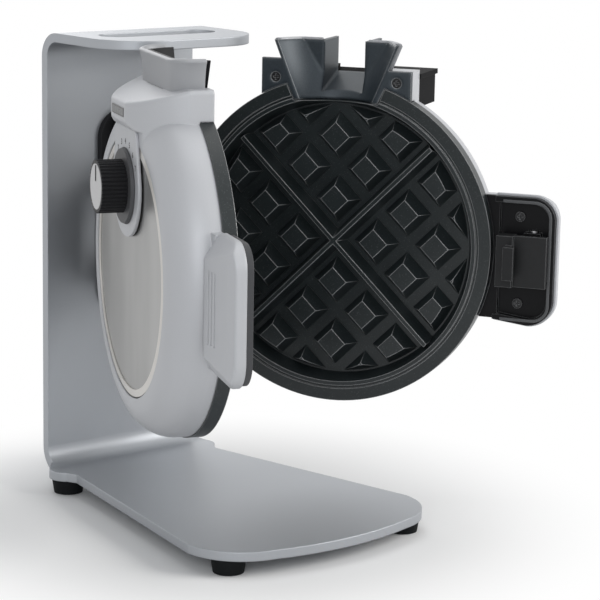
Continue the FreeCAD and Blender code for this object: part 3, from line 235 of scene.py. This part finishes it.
def facing(side, along, out, height, outward=True):
    """A matrix that lays a flat drawing on the half: x to the right, y up, z off the surface."""
    off = half_axes(side)[1] * (1 if outward else -1)
    rise = Vector((0, 0, 1))
    turned = Matrix((rise.cross(off), rise, off)).transposed().to_4x4()
    return Matrix.Translation(on_half(side, along, out, height)) @ turned


disc_centres = {side: on_half(side, DISC_ALONG, 0, DISC_HEIGHT) for side in OPEN}
print("disc centres:", {side: [round(v, 4) for v in centre] for side, centre in disc_centres.items()})

# %% [markdown]
# ## Finishes
# Every finish starts the same way: a Bevel node looks a little way round each point and turns the
# normal near an edge, so that a sharp CAD edge catches a thin line of light as a real moulded edge
# does. The finish then adds its own grain to that normal, and its own tones.


# %% How a finish is put together
class Finish:
    """A new material with the patterns that all finishes share."""

    def __init__(self, name, edge_mm=0.6):
        self.material = bpy.data.materials.new(name)
        self.material.use_nodes = True
        self.material.node_tree.nodes.clear()
        self.pen = Wire(self.material.node_tree)
        self.place = self.pen.node("ShaderNodeTexCoord", {}, {}, "Object")
        self.soft_normal = self.pen.node("ShaderNodeBevel", {"samples": 6}, {"Radius": edge_mm / 1000})

    def noise(self, scale, detail=2.0, stretch=(1, 1, 1)):
        place = self.pen.node("ShaderNodeMapping", {}, {"Vector": self.place, "Scale": stretch})
        return self.pen.node("ShaderNodeTexNoise", {},
                             {"Vector": place, "Scale": scale, "Detail": detail}, "Fac")

    def dot(self, first, second):
        return self.pen.node("ShaderNodeVectorMath", {"operation": "DOT_PRODUCT"},
                             {0: first, 1: second}, "Value")

    def edges(self, strength=6.0, width_mm=None):
        """1 along sharp edges, 0 on flat faces."""
        turned = self.soft_normal
        if width_mm:
            turned = self.pen.node("ShaderNodeBevel", {"samples": 6}, {"Radius": width_mm / 1000})
        flat = self.pen.node("ShaderNodeNewGeometry", {}, {}, "Normal")
        return ((1 - self.dot(turned, flat)) * strength).above(0.1, 0.9)

    def across(self, way, start):
        """How far a point lies from the start, measured one way."""
        offset = self.pen.node("ShaderNodeVectorMath", {"operation": "SUBTRACT"},
                               {0: self.place, 1: start})
        return self.dot(offset, way)

    def beyond(self, way, start, reach, spread):
        """1 where a point lies further than the reach from the start, to either side."""
        far = self.across(way, start)
        return far.sum_of("ABSOLUTE", far, 0.0).above(reach, spread)

    def radius(self, side):
        """How far a point lies from the middle of a half's disc."""
        along = self.across(half_axes(side)[0], disc_centres[side])
        rise = self.across((0, 0, 1), disc_centres[side])
        return self.pen.sum_of("POWER", along * along + rise * rise, 0.5)

    def over(self, mask, below, colour):
        """Lays a colour over what is below, where the mask is 1."""
        return self.pen.node("ShaderNodeMix", {"data_type": "RGBA"},
                             {"Factor": mask, 6: below, 7: (*colour, 1)}, 2)

    def tones(self, mask, low, high):
        """Runs from one colour to another with the mask."""
        return self.over(mask, (*low, 1), high)

    def bump(self, height, strength, depth_mm):
        return self.pen.node("ShaderNodeBump", {}, {
            "Height": height,
            "Strength": strength,
            "Distance": depth_mm / 1000,
            "Normal": self.soft_normal,
        })

    def close(self, sockets):
        shader = self.pen.node("ShaderNodeBsdfPrincipled", {}, sockets)
        self.pen.node("ShaderNodeOutputMaterial", {}, {"Surface": shader})
        return self.material


finishes = {}
print("finish helper is ready")

# %% [markdown]
# The shells are plastic under a silver lacquer. Close up such a lacquer is not one grey: tiny flakes
# lie at their own angles, so the tone sparkles a little, and the clear coat has a faint orange peel.
# Sharp edges get a painted highlight, a pale line laid into the colour. The cup of the left spout gets a
# copy painted darker, which is painted shade, and the right one gets a softer edge.


# %% Silver lacquer of the shells
SILVER_DARK, SILVER_LIGHT = (0.42, 0.429, 0.450), (0.53, 0.539, 0.561)
SILVER_HIGHLIGHT = (0.74, 0.745, 0.76)


def silver_lacquer(name, edge_mm, shade=1.0):
    shell = Finish(name, edge_mm)
    flakes = shell.noise(2600, 1)
    cloud = shell.noise(9, 3)
    # painted highlight: a pale line along sharp edges, laid into the colour
    edge_highlight = shell.edges(5.0, 0.7)
    # the shade factor darkens a copy of the lacquer: painted shade
    dark, light = [[shade * t for t in tone] for tone in (SILVER_DARK, SILVER_LIGHT)]
    silver = shell.tones(flakes * 0.5 + cloud * 0.5, dark, light)
    return shell.close({
        "Base Color": shell.over(edge_highlight * 0.4, silver, SILVER_HIGHLIGHT),
        "Roughness": 0.44 + 0.14 * flakes,
        "Metallic": 0.3,
        "Coat Weight": 0.12,
        "Coat Roughness": 0.3,
        "Normal": shell.bump(shell.noise(420, 2), 0.06, 0.1),
    })


finishes["silver_shell"] = silver_lacquer("silver_lacquer", 1.4)
own_finish = {
    "right_spout_cup": silver_lacquer("right_cup_lacquer", 6.0),
    # painted shade: a darker copy of the lacquer for the left cup
    "left_spout_cup": silver_lacquer("left_cup_shaded_lacquer", 1.4, 0.72),
}
print("made", finishes["silver_shell"].name)

# %% [markdown]
# The stand is one bent sheet of aluminium with a satin, bead blasted skin. The blasting leaves pits
# about a fifth of a millimetre wide, which show as a fine grain and take away the mirror.

# %% Satin aluminium of the stand
stand = Finish("satin_aluminium", 1.0)
pits = stand.noise(3200, 2)
drift = stand.noise(5, 2)
finishes["stand_aluminium"] = stand.close({
    "Base Color": stand.tones(pits * 0.6 + drift * 0.4, (0.325, 0.34, 0.362), (0.44, 0.457, 0.482)),
    "Roughness": 0.40 + 0.14 * pits,
    "Metallic": 0.75,
    "Normal": stand.bump(pits, 0.18, 0.05),
})
print("made", finishes["stand_aluminium"].name)

# %% [markdown]
# The cooking plates carry a black non-stick coat with pale flecks in it. The edges of the pegs get a
# painted highlight: there the colour is a little lighter, and the coat a little glossier. Deeper in the
# painted highlight is left out, so those edges stay dark.


# %% Non-stick coat of the plates
DEEP_FROM, DEEP_OVER = 0.003, 0.006


def nonstick(side):
    coat = Finish(side + "_nonstick_coat", 0.7)
    cells = coat.pen.node("ShaderNodeTexVoronoi", {}, {"Vector": coat.place, "Scale": 2400.0}, "Color")
    chance = coat.pen.node("ShaderNodeSeparateColor", {}, {"Color": cells}, 0)
    fleck = chance.above(0.93, 0.06)
    deep = coat.across(half_axes(side)[1], HINGE).above(DEEP_FROM, DEEP_OVER)
    # painted highlight on sharp edges, left out deeper in
    edge_glint = coat.edges(26.0) * (1 - 0.85 * deep)
    black = coat.tones(coat.noise(40, 3), (0.012, 0.0165, 0.018), (0.022, 0.0275, 0.029))
    flecked = coat.over(fleck * 0.3, black, (0.14, 0.145, 0.15))
    return coat.close({
        # the edge colour is lightened here: painted highlight
        "Base Color": coat.over(edge_glint * 0.75, flecked, (0.48, 0.485, 0.49)),
        "Roughness": 0.34 - 0.14 * edge_glint + 0.1 * fleck,
        "Specular IOR Level": 0.4,
        "Normal": coat.bump(coat.noise(1800, 2), 0.14, 0.06),
    })


finishes["nonstick_plate"] = nonstick("right")
own_finish["left_cooking_plate"] = nonstick("left")
own_finish["left_waffle_grid"] = own_finish["left_cooking_plate"]
print("made", finishes["nonstick_plate"].name)

# %% [markdown]
# The spouts are cast in the same metal but only thinly coated, so they are a paler blue grey with a
# coarse cast skin, and the edges of their ribs get a painted highlight, a pale sheen laid into the
# colour.

# %% Cast spouts
SPOUT_FACE, SPOUT_RIM = 0.0020, 0.2846
cast = Finish("cast_spout", 3.0)
skin = cast.noise(1300, 3)
near_face = 1 - cast.across(half_axes("right")[1], HINGE).above(SPOUT_FACE, 0.0015)
near_rim = cast.across((0, 0, 1), HINGE).above(SPOUT_RIM, 0.0010)
# painted highlight: pale lines along the sharp edges near the meeting face and the top
painted_sheen = cast.edges(14.0, 1.1) * (near_face + near_rim).above(0, 1)
mottle = skin * 0.65 + cast.noise(25, 3) * 0.35
grey = cast.tones(mottle, (0.008, 0.012, 0.016), (0.050, 0.066, 0.080))
cast_spout = cast.close({
    "Base Color": cast.over(painted_sheen * 0.75, grey, (0.33, 0.34, 0.35)),
    "Roughness": 0.34 + 0.16 * skin - 0.1 * painted_sheen,
    "Metallic": 0.3,
    "Normal": cast.bump(skin, 0.45, 0.1),
})
print("made", cast_spout.name)

# %% [markdown]
# The round disc on each outer face is brushed steel. Brushing is one direction drawn out very long, so
# the noise is squeezed across and stretched along the height.

# %% Brushed disc
disc = Finish("brushed_steel", 0.4)
strokes = disc.noise(700, 2, (1, 1, 0.02))
patch = disc.noise(16, 3, (1, 1, 0.35)).above(0.3, 0.4)
finishes["brushed_disc"] = disc.close({
    "Base Color": disc.tones(strokes * 0.4 + patch * 0.6, (0.225, 0.225, 0.222), (0.39, 0.39, 0.386)),
    "Roughness": 0.30 + 0.14 * strokes,
    "Metallic": 0.9,
    "Normal": disc.bump(strokes, 0.10, 0.03),
})
print("made", finishes["brushed_disc"].name)

# %% [markdown]
# The black parts are moulded plastic with a fine spark grain, the same on the hinge bracket and the neck
# cap. Their edges get a painted highlight, a paler line laid into the colour. The tray in the right grip
# and the latch in it are smoother and glossier, and their painted edge highlight is stronger, as on the
# screws and the bead.


# %% Grained black and grey plastic
# grey of the painted edge highlight on the tray, the latch, the screws and the bead
GLINT_GREY = (0.30, 0.305, 0.31)


def grained_plastic(name, low, high, rough, grain=900, shine=0.28, edge=0.25, edge_glint=None):
    plastic = Finish(name, 0.7)
    grit = plastic.noise(grain, 3)
    # painted highlight: a paler line along sharp edges, weighed by edge
    painted_glint = plastic.edges(4.0)
    ground = plastic.tones(grit * 0.6 + 0.4 * plastic.noise(12, 2), low, high)
    pale = edge_glint or tuple(min(1, 3.0 * t + 0.05) for t in high)
    return plastic.close({
        "Base Color": plastic.over(painted_glint * edge, ground, pale),
        "Roughness": rough + 0.14 * grit - 0.06 * painted_glint,
        "Specular IOR Level": shine,
        "Normal": plastic.bump(grit, 0.22 * (1.2 - shine), 0.09),
    })


finishes["black_plastic"] = grained_plastic(
    "black_grained_plastic", (0.007, 0.007, 0.008), (0.016, 0.016, 0.018), 0.40, shine=0.12)
finishes["grey_liner"] = grained_plastic(
    "grey_moulded_plastic", (0.045, 0.046, 0.05), (0.07, 0.071, 0.075), 0.42)
finishes["inner_plastic"] = grained_plastic(
    "heat_proof_plastic", (0.42, 0.40, 0.35), (0.55, 0.53, 0.47), 0.5, grain=500)
finishes["foot_rubber"] = grained_plastic(
    "moulded_rubber", (0.005, 0.006, 0.007), (0.012, 0.013, 0.014), 0.6, grain=600, shine=0.1)
gloss_black = grained_plastic(
    "black_gloss_plastic", (0.004, 0.004, 0.005), (0.009, 0.009, 0.010), 0.24, 300, 0.12, 0.5, GLINT_GREY)
latch_black = grained_plastic(
    "black_latch_plastic", (0.011, 0.0115, 0.012), (0.022, 0.0225, 0.024), 0.30, 300, 0.20, 0.8, GLINT_GREY)
cap_black = grained_plastic(
    "black_cap_plastic", (0.004, 0.004, 0.0045), (0.010, 0.010, 0.011), 0.5, shine=0.03)
screw_black = grained_plastic(
    "black_screw", (0.006, 0.006, 0.007), (0.02, 0.02, 0.022), 0.30, 1200, 0.3, 0.9, GLINT_GREY)
bead_grey = grained_plastic(
    "bead_grey_plastic", (0.06, 0.062, 0.066), (0.11, 0.113, 0.118), 0.30, 300, 0.3, 0.6, GLINT_GREY)
plastics = (gloss_black, latch_black, cap_black, screw_black, bead_grey)
print("plastics besides those of the slots:", [plastic.name for plastic in plastics])

# %% [markdown]
# Small metal parts: plated screws, the painted hinge arms, the satin cap of the knob, the oxidised
# tube of the heating element and the plain sheet of its cover. One recipe with its own tones,
# roughness and grain serves them all.


# %% Small metals
def metal(name, low, high, rough, metallic=1.0, grain=900, stretch=(1, 1, 1)):
    part = Finish(name, 0.4)
    grit = part.noise(grain, 2, stretch)
    stain = part.noise(35, 3)
    return part.close({
        "Base Color": part.tones(grit * 0.5 + stain * 0.5, low, high),
        "Roughness": rough + 0.15 * grit,
        "Metallic": metallic,
        "Normal": part.bump(grit, 0.12, 0.04),
    })


finishes["steel"] = metal("plated_steel", (0.36, 0.36, 0.37), (0.52, 0.52, 0.53), 0.28)
finishes["hinge_steel"] = metal(
    "painted_hinge_steel", (0.012, 0.012, 0.013), (0.026, 0.026, 0.028), 0.38, metallic=0.2)
finishes["knob_silver"] = metal(
    "satin_knob_cap", (0.37, 0.37, 0.375), (0.49, 0.49, 0.495), 0.34, metallic=0.8, stretch=(1, 1, 0.05))
finishes["element_steel"] = metal("oxidised_tube", (0.16, 0.15, 0.14), (0.34, 0.31, 0.28), 0.45)
finishes["shield_aluminium"] = metal(
    "mill_aluminium", (0.56, 0.56, 0.56), (0.70, 0.70, 0.70), 0.33, grain=300, stretch=(1, 1, 0.1))
print("metals:", len([k for k in finishes if "steel" in k or "aluminium" in k]))

# %% [markdown]
# The bezel round the disc is a pale champagne plastic with a soft gloss. Dust and shade gather in the
# seam outside it, so its outer edge is drawn dark.


# %% Bezels
SEAM_RADIUS, SEAM_BLUR = 0.0746, 0.0004


def champagne(side):
    bezel = Finish(side + "_champagne_bezel", 0.5)
    haze = bezel.noise(60, 3)
    seam = bezel.radius(side).above(SEAM_RADIUS, SEAM_BLUR)
    pale = bezel.tones(haze, (0.60, 0.575, 0.54), (0.70, 0.675, 0.64))
    return bezel.close({
        "Base Color": bezel.over(seam * 0.95, pale, (0.02, 0.02, 0.021)),
        "Roughness": 0.26 + 0.1 * haze + 0.3 * seam,
        "Metallic": 0.15,
        "Normal": bezel.bump(bezel.noise(700, 2), 0.05, 0.05),
    })


finishes["pale_bezel"] = champagne("right")
own_finish["left_bezel_ring"] = champagne("left")
print("bezels:", finishes["pale_bezel"].name, own_finish["left_bezel_ring"].name)

# %% [markdown]
# The indicator window is smoked clear plastic with a dark frame printed round it, and the two lamps
# behind it are tinted.

# %% Window and lamps
WINDOW_OUT, WINDOW_HEIGHT = 0.043, 0.2553
PANE_HALF_HIGH, PANE_HALF_WIDE, PRINT_BLUR = 0.0017, 0.0120, 0.0002
window = Finish("smoked_window", 0.3)
smear = window.noise(300, 2, (1, 1, 0.2))
pane = window.tones(smear, (0.06, 0.063, 0.066), (0.10, 0.104, 0.108))
centre = on_half("left", DISC_ALONG, WINDOW_OUT, WINDOW_HEIGHT)
frame_line = (window.beyond((0, 0, 1), centre, PANE_HALF_HIGH, PRINT_BLUR)
              + window.beyond(half_axes("left")[0], centre, PANE_HALF_WIDE, PRINT_BLUR))
finishes["lens_clear"] = window.close({
    "Base Color": window.over(frame_line, pane, (0.01, 0.01, 0.011)),
    "Roughness": 0.22 + 0.12 * smear,
    "Specular IOR Level": 0.3,
    "Normal": window.bump(smear, 0.04, 0.03),
})
glow = Finish("tinted_lamp", 0.3)
tint = glow.noise(400, 2)
finishes["lamp"] = glow.close({
    "Base Color": glow.tones(tint, (0.55, 0.10, 0.03), (0.75, 0.22, 0.08)),
    "Roughness": 0.2 + 0.1 * tint,
    "Normal": glow.bump(tint, 0.05, 0.03),
})
print("trim:", finishes["lens_clear"].name, finishes["lamp"].name)

# %% [markdown]
# ## Dressing the solids
# The record says which slot each solid takes its finish from, so one loop paints them all. A few solids
# then get a finish of their own in place of their slot's.

# %% Paint every solid
for part in frame["record"]["subparts"]:
    mesh = nodes[part["node"]].data
    mesh.materials.clear()
    mesh.materials.append(finishes[part["material_slot"]])
own_finish.update({
    "right_spout_liner": cast_spout,
    "left_spout_liner": finishes["black_plastic"],
    "right_handle_liner": gloss_black,
    "latch_lever": latch_black,
    "neck_cap": cap_black,
})
for side in OPEN:
    own_finish[side + "_spout_screws"] = own_finish[side + "_handle_screws"] = screw_black
for name, finish in own_finish.items():
    nodes[name].data.materials[0] = finish

# %% [markdown]
# ## Dial marks
# The left half carries the browning dial. Its figures and marks are printed in dark grey on the panel
# behind the knob. A print is too thin to be a CAD solid, so we set text, turn it into a mesh with a
# hair of thickness and lay it on the panel.

# %% Ink for the marks
ink = Finish("dial_ink", 0.05)
fade = ink.noise(900, 3)
ink_black = ink.close({
    "Base Color": ink.tones(fade, (0.012, 0.012, 0.013), (0.04, 0.04, 0.042)),
    "Roughness": 0.45 + 0.2 * fade,
    "Normal": ink.bump(fade, 0.05, 0.02),
})
print("made", ink_black.name)

# %% [markdown]
# The figures stand on an arc round the knob, upright and evenly spaced. Each is drawn flat at the
# origin, laid on the panel and then joined to the others, so that the print is one piece.


# %% Figures round the knob
DIAL_FACE, DIAL_HEIGHT, DIAL_RING = 0.0385, 0.212, 0.0255
STEPS = 7
FIRST, LAST = math.radians(150), math.radians(30)
FIGURE_SIZE, FIGURE_BOLD = 0.0046, 0.00012
INK_HALF, INK_LIFT = 0.00003, 0.00004


def take(piece):
    """Makes a piece the only one that is selected."""
    bpy.ops.object.select_all(action="DESELECT")
    piece.select_set(True)
    bpy.context.view_layer.objects.active = piece


def lay_flat(piece, matrix):
    """Puts a drawn piece in its place and leaves the object itself at the origin."""
    take(piece)
    piece.matrix_world = matrix
    bpy.ops.object.transform_apply(location=True, rotation=True, scale=True)


marks = []
for step in range(STEPS):
    angle = FIRST + (LAST - FIRST) * step / (STEPS - 1)
    spot = DIAL_RING * Vector((math.cos(angle), math.sin(angle), 0))
    bpy.ops.object.text_add()
    figure = bpy.context.active_object
    figure.data.body = str(step + 1)
    figure.data.size = FIGURE_SIZE
    figure.data.offset = FIGURE_BOLD
    figure.data.align_x, figure.data.align_y = "CENTER", "CENTER"
    figure.data.extrude = INK_HALF
    bpy.ops.object.convert(target="MESH")
    figure = bpy.context.active_object
    dial = facing("left", DISC_ALONG, DIAL_FACE + INK_LIFT, DIAL_HEIGHT)
    lay_flat(figure, dial @ Matrix.Translation(spot))
    marks.append(figure)

take(marks[0])
for figure in marks[1:]:
    figure.select_set(True)
bpy.ops.object.join()
dial_marks = bpy.context.active_object
dial_marks.name = "dial_marks"
dial_marks.data.materials.clear()
dial_marks.data.materials.append(ink_black)
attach(dial_marks, "left_half")
print("dial marks:", len(dial_marks.data.polygons), "faces")

# %% [markdown]
# ## Bead round the tray
# A thin raised bead runs round the mouth of the right grip's tray, and it is what catches the light
# there. We draw the mouth as a plane, round the two corners on the handle's side with a vertex
# bevel, inset a narrow border, drop the middle, cut off the open side next to the plate and pull the
# border up. A small bevel rounds it off.


# %% Raise the bead
BEAD, BEAD_CORNER, BEAD_RISE, BEAD_ROUND = 0.0018, 0.0105, 0.0007, 0.0002
BEAD_OPEN = 1.3 * BEAD
MOUTH_FROM, MOUTH_TO = 0.2365, 0.2672 + BEAD
MOUTH_LOW, MOUTH_HIGH = 0.1262 - BEAD, 0.1962 + BEAD
MOUTH_OUT = 0.0045


def edit_only(piece, kind, pick):
    """Goes into edit mode with only the points, edges or faces that the test picks."""
    kinds = ("points", "edges", "faces")
    take(piece)
    bpy.context.tool_settings.mesh_select_mode = [kind == name for name in kinds]
    bpy.ops.object.mode_set(mode="EDIT")
    bpy.ops.mesh.select_all(action="DESELECT")
    bpy.ops.object.mode_set(mode="OBJECT")
    lists = (piece.data.vertices, piece.data.edges, piece.data.polygons)
    for element in lists[kinds.index(kind)]:
        element.select = pick(element)
    bpy.ops.object.mode_set(mode="EDIT")


bpy.ops.mesh.primitive_plane_add(size=1)
tray_bead = bpy.context.active_object
tray_bead.name = "tray_bead"
tray_bead.scale = (MOUTH_TO - MOUTH_FROM, MOUTH_HIGH - MOUTH_LOW, 1)
bpy.ops.object.transform_apply(location=False, rotation=False, scale=True)
edit_only(tray_bead, "points", lambda point: point.co.x > 0)
bpy.ops.mesh.bevel(offset=BEAD_CORNER, offset_type="OFFSET", segments=10, affect="VERTICES")
bpy.ops.mesh.select_all(action="SELECT")
bpy.ops.mesh.inset(thickness=BEAD)
bpy.ops.mesh.delete(type="FACE")
bpy.ops.mesh.select_all(action="SELECT")
open_side = (MOUTH_FROM - MOUTH_TO) / 2 + BEAD_OPEN
bpy.ops.mesh.bisect(plane_co=(open_side, 0, 0), plane_no=(1, 0, 0), clear_inner=True)
bpy.ops.mesh.select_all(action="SELECT")
bpy.ops.mesh.extrude_region_move(TRANSFORM_OT_translate={"value": (0, 0, BEAD_RISE)})
bpy.ops.mesh.select_all(action="SELECT")
bpy.ops.mesh.normals_make_consistent(inside=False)
bpy.ops.object.mode_set(mode="OBJECT")
soften = tray_bead.modifiers.new("soften", "BEVEL")
soften.width, soften.segments = BEAD_ROUND, 2
bpy.ops.object.modifier_apply(modifier="soften")
mouth_along, mouth_height = (MOUTH_FROM + MOUTH_TO) / 2, (MOUTH_LOW + MOUTH_HIGH) / 2
lay_flat(tray_bead, facing("right", mouth_along, MOUTH_OUT, mouth_height, outward=False))
tray_bead.data.materials.append(bead_grey)
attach(tray_bead, "right_half")
print("tray bead:", len(tray_bead.data.polygons), "faces")

# %% [markdown]
# ## Soft spout cup
# The cup of the left spout is moulded with wide round corners and a lip that flares a little. The
# solid has nearly the same reach but a plain crease there. We start from a block, round its two outer
# uprights with a wide bevel, cut it into rows and draw each row in, open it at the top, at the bottom
# and towards the other half, and give the skin its thickness.


# %% Mould the cup
CUP_HALF, CUP_DEEP, CUP_LOW, CUP_TOP = 0.0448, 0.0192, 0.2620, 0.2864
CUP_OUT, CUP_CORNER, CUP_WALL, CUP_ROUND = 0.0036, 0.0150, 0.0030, 0.0012
TINY = 0.0001
# Height of each row, and how far it is drawn in
CUP_ROWS = {CUP_LOW: 0.895, 0.2695: 0.905, 0.2750: 0.915, 0.2803: 0.938, 0.2837: 0.962, 0.2855: 0.985}
bpy.ops.mesh.primitive_cube_add(size=1, location=(0, (CUP_LOW + CUP_TOP) / 2, CUP_DEEP / 2))
spout_cup = bpy.context.active_object
spout_cup.name = "soft_spout_cup"
spout_cup.scale = (2 * CUP_HALF, CUP_TOP - CUP_LOW, CUP_DEEP)
bpy.ops.object.transform_apply(location=True, rotation=True, scale=True)


def outer_upright(edge):
    first, second = [spout_cup.data.vertices[index].co for index in edge.vertices]
    return min(first.z, second.z) > CUP_DEEP / 2 and abs(first.x - second.x) < TINY


def open_face(face):
    ends = abs(face.normal.y) > 0.9
    inner = abs(face.normal.z) > 0.9 and face.center.z < TINY
    return ends or inner


edit_only(spout_cup, "edges", outer_upright)
bpy.ops.mesh.bevel(offset=CUP_CORNER, offset_type="OFFSET", segments=16, affect="EDGES")
for height in list(CUP_ROWS)[1:]:
    bpy.ops.mesh.select_all(action="SELECT")
    bpy.ops.mesh.bisect(plane_co=(0, height, 0), plane_no=(0, 1, 0))
bpy.ops.object.mode_set(mode="OBJECT")
edit_only(spout_cup, "faces", open_face)
bpy.ops.mesh.delete(type="FACE")
bpy.ops.object.mode_set(mode="OBJECT")
for height, share in CUP_ROWS.items():
    edit_only(spout_cup, "points", lambda point: abs(point.co.y - height) < TINY)
    bpy.ops.transform.resize(value=(share, 1, share), center_override=(0, height, 0))
    bpy.ops.object.mode_set(mode="OBJECT")
edit_only(spout_cup, "points", lambda point: True)
bpy.ops.mesh.normals_make_consistent(inside=True)
bpy.ops.object.mode_set(mode="OBJECT")
print("cup skin:", len(spout_cup.data.polygons), "faces")

# %% [markdown]
# The skin now gets its wall, which grows inwards, and a small round along the lip. Then the cup is
# laid on the left half, in place of the solid one.

# %% Give the cup its wall
wall = spout_cup.modifiers.new("wall", "SOLIDIFY")
wall.thickness, wall.offset = CUP_WALL, -1
bpy.ops.object.modifier_apply(modifier="wall")
soften = spout_cup.modifiers.new("soften", "BEVEL")
soften.width, soften.segments, soften.angle_limit = CUP_ROUND, 5, math.radians(50)
bpy.ops.object.modifier_apply(modifier="soften")
bpy.ops.object.shade_smooth_by_angle(angle=math.radians(35))
lay_flat(spout_cup, facing("left", DISC_ALONG, CUP_OUT, 0))
spout_cup.data.materials.append(own_finish["left_spout_cup"])
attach(spout_cup, "left_half")
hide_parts("left_spout_cup")
print("spout cup:", len(spout_cup.data.polygons), "faces")
